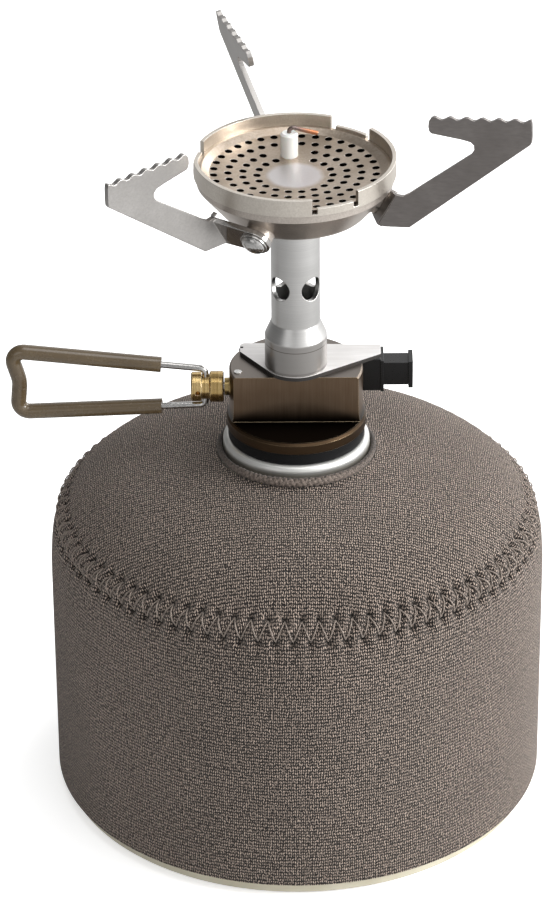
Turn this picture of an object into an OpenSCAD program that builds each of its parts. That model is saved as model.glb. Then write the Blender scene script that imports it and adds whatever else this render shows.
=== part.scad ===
// Tabletop gas stove: a screw-on burner with three folding pot supports,
// standing on a gas canister in a knit sleeve. Millimetres, +Z up, and the
// origin is the centre of the canister's foot on the table.

/* [Canister] */
// Outer radius of the sleeve at its widest
sleeve_r = 56.36; // [52:0.01:58]
// Thickness of the sleeve's knit foam
sleeve_t = 1.5; // [1:0.1:2]
// Height of bare metal below the sleeve's hem
hem_z = 3.2; // [2:0.1:5]
// Height where the straight side starts to turn into the dome
dome_start_z = 53.4; // [45:0.1:58]
// Height that the sleeve's dome reaches towards the axis
dome_top_z = 85.8; // [85:0.1:86.2]
// Fullness of the dome seen from above
dome_plan_power = 1.935; // [1.85:0.005:2.05]
// Fullness of the dome seen from the side
dome_rise_power = 3.452; // [3.2:0.002:3.7]
// Distance of the panels' seam inside the sleeve's widest radius
seam_in = 2.36; // [1.36:0.04:4.36]
// Gap between the lip ring and the sleeve's neck opening
neck_gap = 2.15; // [2.1:0.05:2.4]
// Sheet thickness of the steel can
can_wall = 0.8; // [0.6:0.05:1]
// Distance that the foot ring stands out from the can's wall
foot_out = 0.19; // [0.11:0.01:0.24]
// Width of the foot ring's seam
foot_w = 1.6; // [1.2:0.1:2]
// Height of the can's concave bottom at its centre
bottom_rise = 6; // [4:0.5:9]

/* [Canister valve] */
// Outer radius of the aluminium lip ring
lip_r = 16.6; // [16.4:0.05:16.8]
// Width of the lip ring
lip_w = 2.8; // [2.6:0.05:3]
// Height of the lip ring's top
lip_z = 88.5; // [88.3:0.05:88.7]
// Height of the valve cup's floor
cup_floor_z = 79.6; // [79.4:0.1:79.7]
// Outer radius of the threaded boss
boss_r = 5.55; // [5.5:0.01:5.58]
// Height of the threaded boss above its flange
boss_h = 4.8; // [4.4:0.1:5]

/* [Burner base] */
// Radius of the black seating ring
seat_r = 15.4; // [15.2:0.05:15.6]
// Height of the seating ring's top, where the bronze base starts
disc_z = 91.2; // [91:0.05:91.5]
// Radius of the bronze base disc
disc_r = 15.75; // [15.7:0.05:15.9]
// Thickness of the base disc
disc_t = 2.9; // [2.7:0.1:3.1]
// Radius of the valve block's round stock
block_r = 15; // [14.7:0.05:15.2]
// Height of the valve block's top
block_z = 105.4; // [105.2:0.05:105.6]
// Distance of the milled front flat from the axis
flat_y = 5.5; // [5.2:0.1:6]
// Height of the control spindle's axis
spindle_z = 100.3; // [100.1:0.05:100.4]

/* [Bracket plate and column] */
// Thickness of the bracket plate
plate_t = 0.9; // [0.7:0.05:1]
// Radius of the column's collar
collar_r = 6.95; // [6.7:0.05:7.2]
// Height of the collar
collar_h = 7.5; // [7:0.1:8]
// Height of the cone above the collar
cone_h = 3.6; // [3.2:0.1:4]
// Outer radius of the mixing tube
tube_r = 5.45; // [5.3:0.05:5.55]
// Wall of the mixing tube
tube_wall = 1; // [0.8:0.05:1.05]
// Height of the air holes
air_z = 126.8; // [124:0.1:130]
// Diameter of each air hole
air_d = 5.6; // [4.6:0.1:6]

/* [Burner head] */
// Outer radius of the wind wall
rim_r = 22.2; // [22:0.05:22.4]
// Height of the wind wall's top
rim_z = 157.6; // [157:0.1:158.4]
// Wall of the wind wall
rim_wall_t = 0.9; // [0.7:0.05:1]
// Height where the wind wall meets the bowl
bowl_z = 153.7; // [153.5:0.05:153.9]
// Step from the wind wall in to the bowl's upright band
band_in = 0.6; // [0.5:0.05:0.65]
// Height of the bowl's upright band
band_h = 1.8; // [1.6:0.1:2]
// Width of the slope from the bowl's band in to its lower edge
bowl_slope_w = 4.9; // [4.6:0.05:5.1]
// Height of the bowl's lower edge
bowl_low_z = 146; // [145.7:0.05:146.2]
// Sheet thickness of the bowl
bowl_t = 1; // [0.8:0.05:1.1]
// Diameter of the burner plate's holes
port_d = 1.7; // [1.4:0.1:1.8]
// Number of holes in the innermost ring
port_n = 18; // [12:1:18]

/* [Pot supports] */
// Radius at the outer end of a level pot support
arm_reach = 52.2; // [51:0.1:54]
// Height from a level pot support's low corner up to the pot
arm_rise = 25.1; // [24.7:0.1:26.2]
// Sheet thickness of the pot supports
arm_t = 1.2; // [1:0.05:1.3]
// Number of teeth on each support
tooth_n = 6; // [4:1:8]
// How far the teeth stand up
tooth_h = 0.7; // [0.5:0.05:0.9]
// Tilt of the rivets from straight down
rivet_tilt = 60; // [59:0.5:61]
// Radius of the rivet's shank
rivet_r = 1.5; // [1.3:0.05:1.6]

/* [Igniter] */
// Distance of the igniter's axis behind the burner's axis
ign_y = 8.2; // [8.1:0.05:8.3]
// Height of the igniter's axis
ign_z = 100.05; // [99.95:0.05:100.1]
// Travel of the igniter's button
button_travel = 5; // [4:0.25:5.2]

/* [Control] */
// Radius of the knob's collar
knob_r = 3.5; // [3.3:0.05:3.6]
// Radius of the handle's steel wire
wire_r = 0.75; // [0.6:0.05:0.8]
// Outer radius of the handle's plastic sleeve
grip_r = 1.75; // [1.5:0.05:1.85]

/* [Hidden] */
$fn = 96;
overrun = 0.6;
// Clearances: fixed joints, running fits, sliding fits and soft solids
fit_gap = 0.03;
run_gap = 0.05;
slide_gap = 0.12;
soft_gap = 0.25;
fine_fn = 48;
small_fn = 24;

// Canister, dome and valve
dome_steps = 14;
can_gap = soft_gap;
curl_in = 1.05;
curl_w = 0.7;
curl_top_gap = 1.3;
skirt_z = 83.7;
cup_sheet = 0.95;
cup_wall_t = 0.85;
cup_hole_r = 5;
cup_floor_t = 1;
flange_r = 8;
flange_h = 1.2;
thread_depth = 0.45;
thread_pitch = 0.907;
thread_n = 4;
boss_bore_r = 3.2;
boss_mouth_r = 1.6;
boss_mouth_h = 1.4;
gasket_h = 1.2;
gasket_hole_r = 1.25;
stem_r = 1.1;
stem_head_r = 2.4;
stem_head_h = 0.9;
housing_r = 4.85;
housing_bore_r = 3.6;
housing_h = 13;
housing_floor = 1.2;
foot_round = 0.5;
binding_r = 1;
binding_in = 1.03;
seam_half = 2.1;
seam_thread_t = 0.35;
seam_lift = 0.03;

// Burner base
seat_gap = 0.2;
seat_bore_r = 8.2;
socket_r = 8;
socket_low_gap = 0.25;
socket_roof = 4;
socket_neck_r = 4;
socket_neck_h = 1.8;
thread_gap = 0.06;
probe_r = 1;
probe_tip_gap = 0.15;
probe_top = 2.4;
oring_t = 0.9;
disc_chamfer = 0.6;
flare_r = 15.35;
flare_h = 4.6;
flare_low_share = 0.26;
flare_mid_share = 0.58;
flare_in_share = 0.45;
flare_deep_share = 0.14;
block_chamfer = 0.35;
spigot_r = 4.8;
spigot_h = 3.9;
spigot_bore_r = 2.7;
jet_r = 2.6;
jet_h = 5.2;
jet_hex_r = 2.45;
jet_bore_r = 0.45;
filter_h = 1;
pocket_y = 5.2;
pocket_low = 96;
pocket_top = 104.1;
pocket_left = 13.5;
gas_r = 0.8;
spindle_r = 1.05;
gland_r = 2.55;
gland_in = 9;
gland_out = 16.1;
gland_neck_r = 2;
seal_in = 7.4;
seal_r = 1.9;
needle_in = 2.6;
needle_len = 1.6;
pin_x = 13;
pin_y = 2.7;
pin_r = 0.9;
pin_deep = 1.9;
pin_proud = 0.2;

// Bracket plate
plate_left = 12.6;
plate_right = 19.1;
plate_margin = 0.35;
plate_back_left = 9.3;
plate_back_right = 8.2;
plate_mid_left = 5.3;
plate_mid_right = 3.85;
plate_corner = 0.8;
plate_slot_w = 0.7;
plate_slot_d = 1.6;

// Column
column_z = block_z + plate_t;
tube_base_z = column_z + collar_h + cone_h;
tube_top_gap = 0.5;
air_angle = 45;
lead_r = 0.5;
lead_y = 3.6;
lead_gap = 0.2;
lead_bend = 0.8;
lead_start_z = 103;

// Burner head
bowl_hub_w = 1.55;
bowl_hub_z = 142.4;
bowl_floor_z = 143.4;
hub_round = 0.8;
plate_top_z = 152.8;
flame_t = 0.8;
flame_flat_r = 6.5;
flame_slope_w = 1.7;
flame_edge_z = 153.95;
flame_rim_w = 0.9;
flame_rim_z = 154.9;
notch_az = 53.6;
notch_half = 14.2;
tab_half = 11;
tab_z = 155.5;
slot_z = 154.2;
port_first_r = 8.3;
port_ring_step = 3.17;
electrode_x = -1.2;
electrode_y = 9.9;
ceramic_r = 1.95;
ceramic_low = 1;
ceramic_z = 158.5;
ceramic_round = 0.4;
wire_tip_r = 0.5;
tip_rise = 1.4;
tip_reach = 6.3;
tip_drop = 1.6;
tip_bend = 0.9;

// Hinges of the pot supports: the rivet stands on the bowl's cone
hinge_az = 4;
hinge_off = 0.9;
hinge_up = 0.7;
hinge_out = 1.85;
arm_count = 3;
arm_step = 360 / arm_count;
left_az = -120;
right_az = 0;
back_az = 120;
right_fold = -12;
back_fold = -12;
blade_az = -17.4;
blade_off = -1.55;
pad_r = 3.2;
pad_deep = 2.3;
tab_end_r = 3.5;
tooth_steps = 8;
head_r = 2.7;
head_h = 1.5;
upset_r = 2.1;
upset_h = 0.6;
washer_r = 3.1;
washer_t = 0.5;
washer_bore_r = rivet_r + run_gap + run_gap;
bend_rise = 6.8;

// Igniter
ign_half_y = 2.95;
ign_half_z = 3.92;
ign_left = -12.9;
flange_half_y = 3.5;
flange_half_z = 3.85;
flange_t = 0.7;
piezo_r = 2.2;
piezo_bore_r = 2.25;
piezo_len = 15;
piezo_in = 0.5;
button_half_y = 2.35;
button_half_z = 2.8;
button_gap = 0.6;
button_in = 12;
cap_half_y = 2.9;
cap_half_z = 3.3;
cap_t = 1;
cap_groove = 0.35;
guide_room = 2;
plunger_r = 1.2;
plunger_lap = 1.73;
plunger_end_gap = 0.3;

// Knob
knob_end_x = 23.6;
knob_mid_x = 21.25;
knob_neck_x = 19.45;
knob_in_x = 16.25;
knob_end_r = 3.35;
knob_neck_r = 2.8;
knob_chamfer = 0.3;
knob_bore_in = 17.6;
cross_x = 22;
cross_r = 0.55;
pivot_x = 20.35;

// Handle: corners of the wire's centreline beside the spindle's axis, as
// shares of the handle's length and of its half height, each with its bend
handle_len = 44.1;
handle_half = 7.9;
handle_yaw = -3.6;
handle_bend = 2.4;
bend_ease = 0.015;
bend_lap = 0.04;
pivot_in = 1.7;
grip_from = 9.9;
near_share = 0.578;
loop_share = [[1, 1], [0.951, 0.038], [0.967, -0.975]];
near_bend_share = 0.55;
loop_bend_share = [1, 3.2, 1];

// Outline of a pot support beside its bend, as shares of its reach beyond
// the low corner and of its height below the pot
arm_low_out = 7.9;
arm_low_down = 3.9;
arm_share = [
    [0, 0], [0.99, 0.777], [1.004, 0.8], [1.008, 0.86], [1.006, 0.965]
];
arm_inner_share = [
    [0.205, 1], [0.18, 0.986], [0.163, 0.955], [0.16, 0.905],
    [0.168, 0.868], [0.185, 0.85], [0.43, 0.805],
    [0.505, 0.785], [0.533, 0.755], [0.535, 0.715], [0.508, 0.675],
    [0.06, 0.35], [0.0, 0.305], [-0.05, 0.278], [-0.1, 0.285], [-0.135, 0.32]
];

// A point of the dome at a turn t of 0 to 90 degrees
function dome_point(r, h0, h1, t) = [
    r * pow(cos(t), 2 / dome_plan_power),
    h0 + (h1 - h0) * pow(sin(t), 2 / dome_rise_power)
];
function dome_turn(r, at_r) = acos(pow(at_r / r, dome_plan_power / 2));
function dome_run(r, h0, h1, t0, t1) = [
    for (i = [0:dome_steps])
        dome_point(r, h0, h1, t0 + (t1 - t0) * i / dome_steps)
];
function reversed(list) = [
    for (i = [len(list) - 1:-1:0]) list[i]
];
function placed(shares, x0, dx, y0, dy) = [
    for (p = shares) [x0 + p[0] * dx, y0 + p[1] * dy]
];

sleeve_in_r = sleeve_r - sleeve_t;
sleeve_in_top = dome_top_z - sleeve_t;
can_r = sleeve_in_r - can_gap;
foot_r = can_r + foot_out;
seam_r = sleeve_r - seam_in;
neck_r = lip_r + neck_gap;
curl_r = lip_r - curl_in;
can_top = sleeve_in_top - can_gap;
neck_turn = dome_turn(sleeve_r, neck_r);
curl_top_z = lip_z - curl_top_gap;
boss_base_z = cup_floor_z;
boss_top_z = boss_base_z + flange_h + boss_h;
bore_roof_z = boss_top_z - boss_mouth_h;
gasket_z = bore_roof_z - gasket_h;
rim_in_r = rim_r - rim_wall_t;
band_r = rim_r - band_in;
bowl_low_r = band_r - bowl_slope_w;
bowl_hub_r = tube_r + bowl_hub_w;
flame_rim_r = rim_in_r - flame_rim_w;
flame_r = flame_rim_r - flame_slope_w;
port_rings = floor((flame_r - port_first_r) / port_ring_step) + 1;
hinge_r = bowl_low_r + hinge_off;
hinge_z = bowl_low_z + hinge_up;
arm_low_s = hinge_r + arm_low_out;
arm_low_z = hinge_z - arm_low_down;
pot_z = arm_low_z + arm_rise;
bend_low_z = arm_low_z;
bend_high_z = arm_low_z + bend_rise;
guide_start = button_in - button_travel - guide_room;
button_out = plate_right + flange_t + button_travel + button_gap;
plunger_start = ign_left + piezo_in + fit_gap + piezo_len - plunger_lap;

module ring(r_out, r_in, z0, z1) {
    translate([0, 0, z0])
        difference() {
            cylinder(r = r_out, h = z1 - z0);
            translate([0, 0, -overrun])
                cylinder(r = r_in, h = z1 - z0 + 2 * overrun);
        }
}

module along_x(x0, x1, r) {
    translate([x0, 0, 0])
        rotate([0, 90, 0])
            cylinder(r = r, h = x1 - x0);
}

module can_base() {
    color("#e9e4d2")
        rotate_extrude() {
            polygon([
                [foot_r - foot_w, foot_round], [foot_r - foot_w + foot_round, 0],
                [foot_r - foot_round, 0], [foot_r, foot_round],
                [foot_r, hem_z], [foot_r - foot_w, hem_z]
            ]);
            polygon(concat(
                [for (i = [0:dome_steps]) let (u = i / dome_steps)
                    [foot_r * u - foot_w * u,
                     hem_z - can_wall + (bottom_rise - hem_z) * (1 - u * u)]],
                [for (i = [dome_steps:-1:0]) let (u = i / dome_steps)
                    [foot_r * u - foot_w * u,
                     hem_z + (bottom_rise - hem_z) * (1 - u * u)]]
            ));
        }
}

module can_body() {
    in_r = can_r - can_wall;
    in_top = can_top - can_wall;
    t_out = dome_turn(can_r, curl_r);
    t_in = dome_turn(in_r, curl_r - curl_w);
    color("#e9e4d2")
        rotate_extrude()
            polygon(concat(
                [[can_r, hem_z]],
                dome_run(can_r, dome_start_z, can_top, 0, t_out),
                [[curl_r, curl_top_z - curl_w / 4],
                 [curl_r - curl_w / 4, curl_top_z],
                 [curl_r - curl_w * 3 / 4, curl_top_z],
                 [curl_r - curl_w, curl_top_z - curl_w / 4]],
                reversed(dome_run(in_r, dome_start_z, in_top, 0, t_in)),
                [[in_r, hem_z]]
            ));
}

module valve_cup() {
    bead_r = lip_w / 2;
    mid = lip_r - bead_r;
    inner = lip_r - lip_w;
    low_z = cup_floor_z - cup_floor_t;
    color("#d9dadb")
        rotate_extrude()
            difference() {
                union() {
                    translate([mid, lip_z - bead_r])
                        circle(r = bead_r);
                    translate([inner, skirt_z])
                        square([lip_w, lip_z - bead_r - skirt_z]);
                    translate([inner, low_z])
                        square([cup_wall_t, skirt_z - low_z]);
                    translate([cup_hole_r, low_z])
                        square([inner + cup_wall_t - cup_hole_r, cup_floor_t]);
                }
                translate([curl_r - curl_w - fit_gap, skirt_z - overrun])
                    square([
                        curl_w + 2 * fit_gap,
                        curl_top_z + fit_gap - skirt_z + overrun
                    ]);
            }
}

module thread_boss() {
    root_r = boss_r - thread_depth;
    base = boss_base_z + flange_h;
    color("#c9b27a")
        rotate_extrude()
            polygon(concat(
                [[boss_bore_r, boss_base_z], [flange_r, boss_base_z],
                 [flange_r, base], [root_r, base]],
                [for (i = [0:thread_n - 1]) each let (
                    z = base + thread_pitch * (i + 0.5)) [
                    [root_r, z - thread_pitch / 4],
                    [boss_r, z], [boss_r, z + thread_pitch / 8],
                    [root_r, z + thread_pitch * 3 / 8]
                ]],
                [[root_r, boss_top_z - thread_depth],
                 [root_r - thread_depth, boss_top_z],
                 [boss_mouth_r, boss_top_z], [boss_mouth_r, bore_roof_z],
                 [boss_bore_r, bore_roof_z]]
            ));
}

module valve_gasket() {
    color("#262626")
        ring(boss_bore_r - fit_gap, gasket_hole_r, gasket_z, bore_roof_z);
}

module valve_stem() {
    stem_top = gasket_z - stem_head_h;
    low = cup_floor_z - housing_h + housing_floor;
    color("#b9babb") {
        translate([0, 0, stem_top])
            cylinder(r = stem_head_r, h = stem_head_h);
        translate([0, 0, low])
            cylinder(r = stem_r, h = stem_top - low);
    }
}

module valve_housing() {
    color("#e4e1da")
        difference() {
            ring(housing_r, housing_bore_r - housing_bore_r,
                cup_floor_z - housing_h, cup_floor_z);
            translate([0, 0, cup_floor_z - housing_h + housing_floor])
                cylinder(r = housing_bore_r, h = housing_h);
        }
}

// One panel of the sleeve between two radii of its dome
module sleeve_panel(r_low, r_high, straight) {
    rotate_extrude()
        polygon(concat(
            straight ? [[sleeve_r, hem_z]] : [],
            dome_run(sleeve_r, dome_start_z, dome_top_z,
                straight ? 0 : dome_turn(sleeve_r, r_low),
                dome_turn(sleeve_r, r_high)),
            reversed(dome_run(sleeve_in_r, dome_start_z, sleeve_in_top,
                straight ? 0 : dome_turn(sleeve_in_r, r_low),
                dome_turn(sleeve_in_r, r_high))),
            straight ? [[sleeve_in_r, hem_z]] : []
        ));
}

module sleeve_side() {
    color("#6b5f59") sleeve_panel(sleeve_r, seam_r, true);
}

module sleeve_top() {
    color("#6b5f59") sleeve_panel(seam_r, neck_r, false);
}

module neck_binding() {
    at = dome_point(sleeve_r, dome_start_z, dome_top_z, neck_turn);
    color("#4f453f")
        rotate_extrude()
            translate([at[0] - binding_in, at[1]])
                circle(r = binding_r, $fn = fine_fn);
}

module seam_thread() {
    t0 = dome_turn(sleeve_r, seam_r + seam_half / 2);
    t1 = dome_turn(sleeve_r, seam_r - seam_half / 2);
    color("#3f3733")
        rotate_extrude()
            polygon(concat(
                dome_run(sleeve_r + seam_thread_t, dome_start_z,
                    dome_top_z + seam_thread_t, t0, t1),
                reversed(dome_run(sleeve_r + seam_lift, dome_start_z,
                    dome_top_z + seam_lift, t0, t1))
            ));
}

socket_low_z = boss_base_z + flange_h + socket_low_gap;
socket_roof_z = disc_z - socket_roof;
disc_top_z = disc_z + disc_t;

module seat_ring() {
    color("#1b1b1c")
        ring(seat_r, seat_bore_r, lip_z + seat_gap, disc_z);
}

module thread_socket() {
    color("#b89a55")
        difference() {
            union() {
                translate([0, 0, socket_low_z])
                    cylinder(r = socket_r, h = disc_z - socket_low_z);
                translate([0, 0, disc_z])
                    cylinder(r = socket_neck_r, h = socket_neck_h);
            }
            translate([0, 0, socket_low_z - overrun])
                cylinder(
                    r = boss_r + thread_gap,
                    h = socket_roof_z - socket_low_z + overrun
                );
            translate([0, 0, socket_low_z])
                cylinder(
                    r = probe_r + fit_gap,
                    h = disc_z - socket_low_z + socket_neck_h + overrun
                );
        }
}

module probe_pin() {
    low = gasket_z + probe_tip_gap;
    color("#c7c8ca")
        difference() {
            translate([0, 0, low])
                cylinder(r = probe_r, h = disc_z + probe_top - low);
            translate([0, 0, low - overrun])
                cylinder(
                    r = probe_r / 2, h = disc_z + probe_top - low + 2 * overrun,
                    $fn = small_fn
                );
        }
}

module probe_oring() {
    color("#1b1b1c")
        translate([0, 0, socket_roof_z - oring_t / 2 - fit_gap])
            rotate_extrude()
                translate([probe_r + fit_gap + oring_t / 2, 0])
                    circle(r = oring_t / 2, $fn = small_fn);
}

module valve_block() {
    body_h = block_z - disc_top_z;
    color("#4a3b30")
        difference() {
            union() {
                rotate_extrude()
                    polygon([
                        [0, disc_z], [disc_r - disc_chamfer / 2, disc_z],
                        [disc_r, disc_z + disc_chamfer / 2],
                        [disc_r, disc_top_z - disc_chamfer],
                        [disc_r - disc_chamfer, disc_top_z], [0, disc_top_z]
                    ]);
                difference() {
                    rotate_extrude()
                        polygon([
                            [0, disc_top_z], [flare_r, disc_top_z],
                            [block_r + (flare_r - block_r) * flare_in_share,
                             disc_top_z + flare_h * flare_low_share],
                            [block_r + (flare_r - block_r) * flare_deep_share,
                             disc_top_z + flare_h * flare_mid_share],
                            [block_r, disc_top_z + flare_h],
                            [block_r, block_z - block_chamfer],
                            [block_r - block_chamfer, block_z], [0, block_z]
                        ]);
                    translate([-disc_r, -disc_r - flat_y, disc_top_z])
                        cube([2 * disc_r, disc_r, body_h + overrun]);
                }
            }
            translate([-pocket_left, pocket_y, pocket_low])
                cube([
                    pocket_left + disc_r, disc_r, pocket_top - pocket_low
                ]);
            translate([0, 0, block_z - spigot_h])
                cylinder(r = spigot_r + fit_gap, h = spigot_h + overrun);
            translate([0, 0, disc_z - overrun])
                cylinder(
                    r = socket_neck_r + fit_gap,
                    h = socket_neck_h + fit_gap + overrun
                );
            translate([0, 0, disc_z])
                cylinder(r = probe_r + fit_gap, h = probe_top + fit_gap);
            translate([0, 0, disc_z])
                cylinder(
                    r = gas_r, h = block_z - spigot_h - disc_z + overrun,
                    $fn = small_fn
                );
            translate([0, 0, spindle_z]) {
                along_x(-block_r - overrun, -gland_in, gland_r + fit_gap);
                along_x(-gland_in - overrun, -seal_in, seal_r + fit_gap);
                along_x(-seal_in - overrun, -needle_in + needle_len,
                    spindle_r + run_gap);
            }
            translate([-pin_x, -pin_y, block_z - pin_deep])
                cylinder(r = pin_r + fit_gap, h = pin_deep + overrun,
                    $fn = small_fn);
            translate([0, lead_y, lead_start_z])
                rotate([-90, 0, 0])
                    cylinder(r = lead_r + lead_gap, h = pocket_y - lead_y + fit_gap,
                        $fn = small_fn);
        }
}

module block_pin() {
    color("#d9dadb")
        translate([-pin_x, -pin_y, block_z - pin_deep])
            cylinder(r = pin_r, h = pin_deep + pin_proud, $fn = small_fn);
}

module gland_nut() {
    color("#b89a55")
        translate([0, 0, spindle_z])
            difference() {
                union() {
                    along_x(-block_r, -gland_in, gland_r);
                    along_x(-gland_out, -block_r, gland_neck_r);
                }
                along_x(-gland_out - overrun, -gland_in + overrun,
                    spindle_r + run_gap);
            }
}

module spindle_oring() {
    color("#1b1b1c")
        translate([0, 0, spindle_z])
            difference() {
                along_x(-gland_in, -seal_in, seal_r);
                along_x(-gland_in - overrun, -seal_in + overrun,
                    spindle_r + run_gap);
            }
}

jet_low_z = block_z - spigot_h;

module jet_filter() {
    color("#9a9a92")
        translate([0, 0, jet_low_z])
            cylinder(r = jet_r, h = filter_h - fit_gap);
}

module jet() {
    color("#b89a55")
        difference() {
            union() {
                translate([0, 0, jet_low_z + filter_h])
                    cylinder(r = jet_r, h = jet_h / 2);
                translate([0, 0, jet_low_z + filter_h + jet_h / 2])
                    cylinder(r = jet_hex_r, h = jet_h / 2, $fn = 6);
            }
            translate([0, 0, jet_low_z])
                cylinder(r = jet_bore_r, h = jet_h + filter_h + overrun,
                    $fn = small_fn);
        }
}

// Where a line from point p touches a circle of radius r about the axis
function touch(p, r, side) =
    let (a = atan2(p[1], p[0]) + side * acos(r / norm(p)))
    r * [cos(a), sin(a)];

module bracket_plate() {
    round_r = collar_r + plate_margin;
    left = [-plate_left, plate_mid_left];
    right = [plate_right, plate_mid_right];
    color("#c9cacb")
        translate([0, 0, block_z])
            difference() {
                linear_extrude(plate_t)
                    difference() {
                        union() {
                            circle(r = round_r);
                            polygon([
                                left, touch(left, round_r, 1),
                                touch(right, round_r, -1), right,
                                [plate_right, plate_back_right],
                                [-plate_left + plate_corner, plate_back_left],
                                [-plate_left, plate_back_left - plate_corner]
                            ]);
                        }
                        translate([
                            -plate_left - overrun,
                            plate_mid_left + plate_slot_d
                        ])
                            square([plate_slot_w + overrun, plate_slot_w]);
                    }
                translate([0, 0, -overrun])
                    cylinder(r = spigot_r + fit_gap,
                        h = plate_t + 2 * overrun);
            }
}

tube_in_r = tube_r - tube_wall;
tube_top_z = bowl_floor_z + tube_top_gap;

module mixing_tube() {
    color("#bfc1c3")
        difference() {
            rotate_extrude()
                polygon([
                    [spigot_bore_r, jet_low_z], [spigot_r, jet_low_z],
                    [spigot_r, column_z], [collar_r, column_z],
                    [collar_r, column_z + collar_h],
                    [tube_r, tube_base_z], [tube_r, tube_top_z],
                    [tube_in_r, tube_top_z],
                    [tube_in_r, column_z + collar_h / 2],
                    [spigot_bore_r, column_z + collar_h / 4]
                ]);
            for (a = [0:90:270])
                translate([0, 0, air_z])
                    rotate([0, 90, air_angle + a])
                        cylinder(d = air_d, h = 2 * tube_r);
            translate([0, lead_y, jet_low_z - overrun])
                cylinder(r = lead_r + lead_gap,
                    h = collar_h + spigot_h, $fn = small_fn);
            translate([0, lead_y, lead_start_z])
                rotate([-90, 0, 0])
                    cylinder(r = lead_r + lead_gap, h = spigot_r,
                        $fn = small_fn);
        }
}

// The frame of a pot support's rivet: +Z runs out along the rivet from the
// middle of the hinge tab, +Y is level and +X points down the slope
module at_hinge(az) {
    rotate([0, 0, az])
        rotate([0, 0, hinge_az])
            translate([hinge_r, 0, hinge_z])
                rotate([0, 0, -hinge_az])
                    rotate([0, 180 - rivet_tilt, 0])
                        translate([0, 0, hinge_out])
                            children();
}

// Turns an arm about its rivet by an angle from level
module folded(angle) {
    translate([
        hinge_r * cos(hinge_az), hinge_r * sin(hinge_az), hinge_z
    ])
        rotate([0, 180 - rivet_tilt, 0])
            rotate([0, 0, angle])
                rotate([0, rivet_tilt - 180, 0])
                    translate([
                        -hinge_r * cos(hinge_az), -hinge_r * sin(hinge_az),
                        -hinge_z
                    ])
                        children();
}

// Depth at which a rivet's upset end bears on the bowl, in the hinge's frame
rivet_in_z = -arm_t / 2 - 2 * fit_gap - pad_deep;

module burner_bowl() {
    color("#8d8177")
        difference() {
            union() {
                difference() {
                    rotate_extrude()
                        polygon([
                            [0, bowl_hub_z],
                            [bowl_hub_r, bowl_hub_z],
                            [bowl_low_r - hub_round, bowl_low_z - hub_round],
                            [bowl_low_r, bowl_low_z],
                            [band_r, bowl_z - band_h],
                            [band_r, bowl_z], [0, bowl_z]
                        ]);
                    rotate_extrude()
                        polygon([
                            [0, bowl_floor_z],
                            [bowl_hub_r - bowl_t / 2, bowl_floor_z],
                            [bowl_low_r - bowl_t - hub_round / 2,
                             bowl_low_z + bowl_t / 2],
                            [band_r - bowl_t, bowl_z - band_h + bowl_t / 3],
                            [band_r - bowl_t, bowl_z + overrun],
                            [0, bowl_z + overrun]
                        ]);
                }
                for (a = [left_az, right_az, back_az])
                    at_hinge(a)
                        translate([0, 0, -arm_t / 2 - fit_gap - pad_deep])
                            cylinder(r = pad_r, h = pad_deep);
            }
            translate([0, 0, bowl_hub_z - overrun])
                cylinder(r = tube_r + fit_gap, h = 2 * overrun + bowl_t);
            for (a = [left_az, right_az, back_az])
                at_hinge(a)
                    translate([0, 0, -arm_t / 2 - pad_deep - 2 * overrun])
                        cylinder(r = rivet_r + fit_gap,
                            h = pad_deep + 3 * overrun);
            for (a = [left_az, right_az, back_az])
                at_hinge(a)
                    translate([0, 0, rivet_in_z - upset_h - 2 * overrun])
                        cylinder(r = upset_r + slide_gap,
                            h = upset_h + 2 * overrun + fit_gap);
        }
}

module rim_wall() {
    color("#a0917f")
        difference() {
            ring(rim_r, rim_in_r, bowl_z, rim_z);
            for (k = [0:arm_count - 1])
                rotate([0, 0, notch_az + k * arm_step]) {
                    wedge((notch_half + tab_half) / 2, tab_z, rim_z + overrun);
                    for (side = [-1, 1])
                        rotate([0, 0, side * (notch_half + tab_half) / 2])
                            wedge((notch_half - tab_half) / 2, slot_z,
                                rim_z + overrun);
                }
        }
}

// A wedge of the given half angle that reaches past the rim
module wedge(half, z0, z1) {
    reach = rim_r * 1.2;
    translate([0, 0, z0])
        linear_extrude(z1 - z0)
            polygon([
                [0, 0], [reach * cos(half), -reach * sin(half)],
                [reach * cos(half), reach * sin(half)]
            ]);
}

module flame_plate() {
    through = flame_edge_z - plate_top_z + flame_t + 2 * overrun;
    color("#b0a08e")
        difference() {
            rotate_extrude()
                polygon([
                    [0, plate_top_z - flame_t],
                    [flame_flat_r, plate_top_z - flame_t],
                    [flame_r, flame_edge_z - flame_t],
                    [flame_rim_r, bowl_z + fit_gap],
                    [rim_in_r - fit_gap, bowl_z + fit_gap],
                    [rim_in_r - fit_gap, flame_rim_z],
                    [flame_rim_r, flame_rim_z],
                    [flame_r, flame_edge_z], [flame_flat_r, plate_top_z],
                    [0, plate_top_z]
                ]);
            for (k = [0:port_rings - 1], i = [0:port_n * (k + 3) / 3 - 1])
                rotate([0, 0, (i + k / 2) * 360 / (port_n * (k + 3) / 3)])
                    if (port_clear(k, i))
                        translate([
                            port_first_r + k * port_ring_step, 0,
                            plate_top_z - flame_t - overrun
                        ])
                            cylinder(d = port_d, h = through, $fn = 16);
            translate([electrode_x, electrode_y, plate_top_z - flame_t - overrun])
                cylinder(r = ceramic_r + fit_gap, h = through);
        }
}

// True where a port stands clear of the electrode's hole
function port_clear(k, i) =
    let (
        a = (i + k / 2) * 360 / (port_n * (k + 3) / 3),
        r = port_first_r + k * port_ring_step
    )
    norm([r * cos(a) - electrode_x, r * sin(a) - electrode_y])
        > ceramic_r + port_d;

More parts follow.
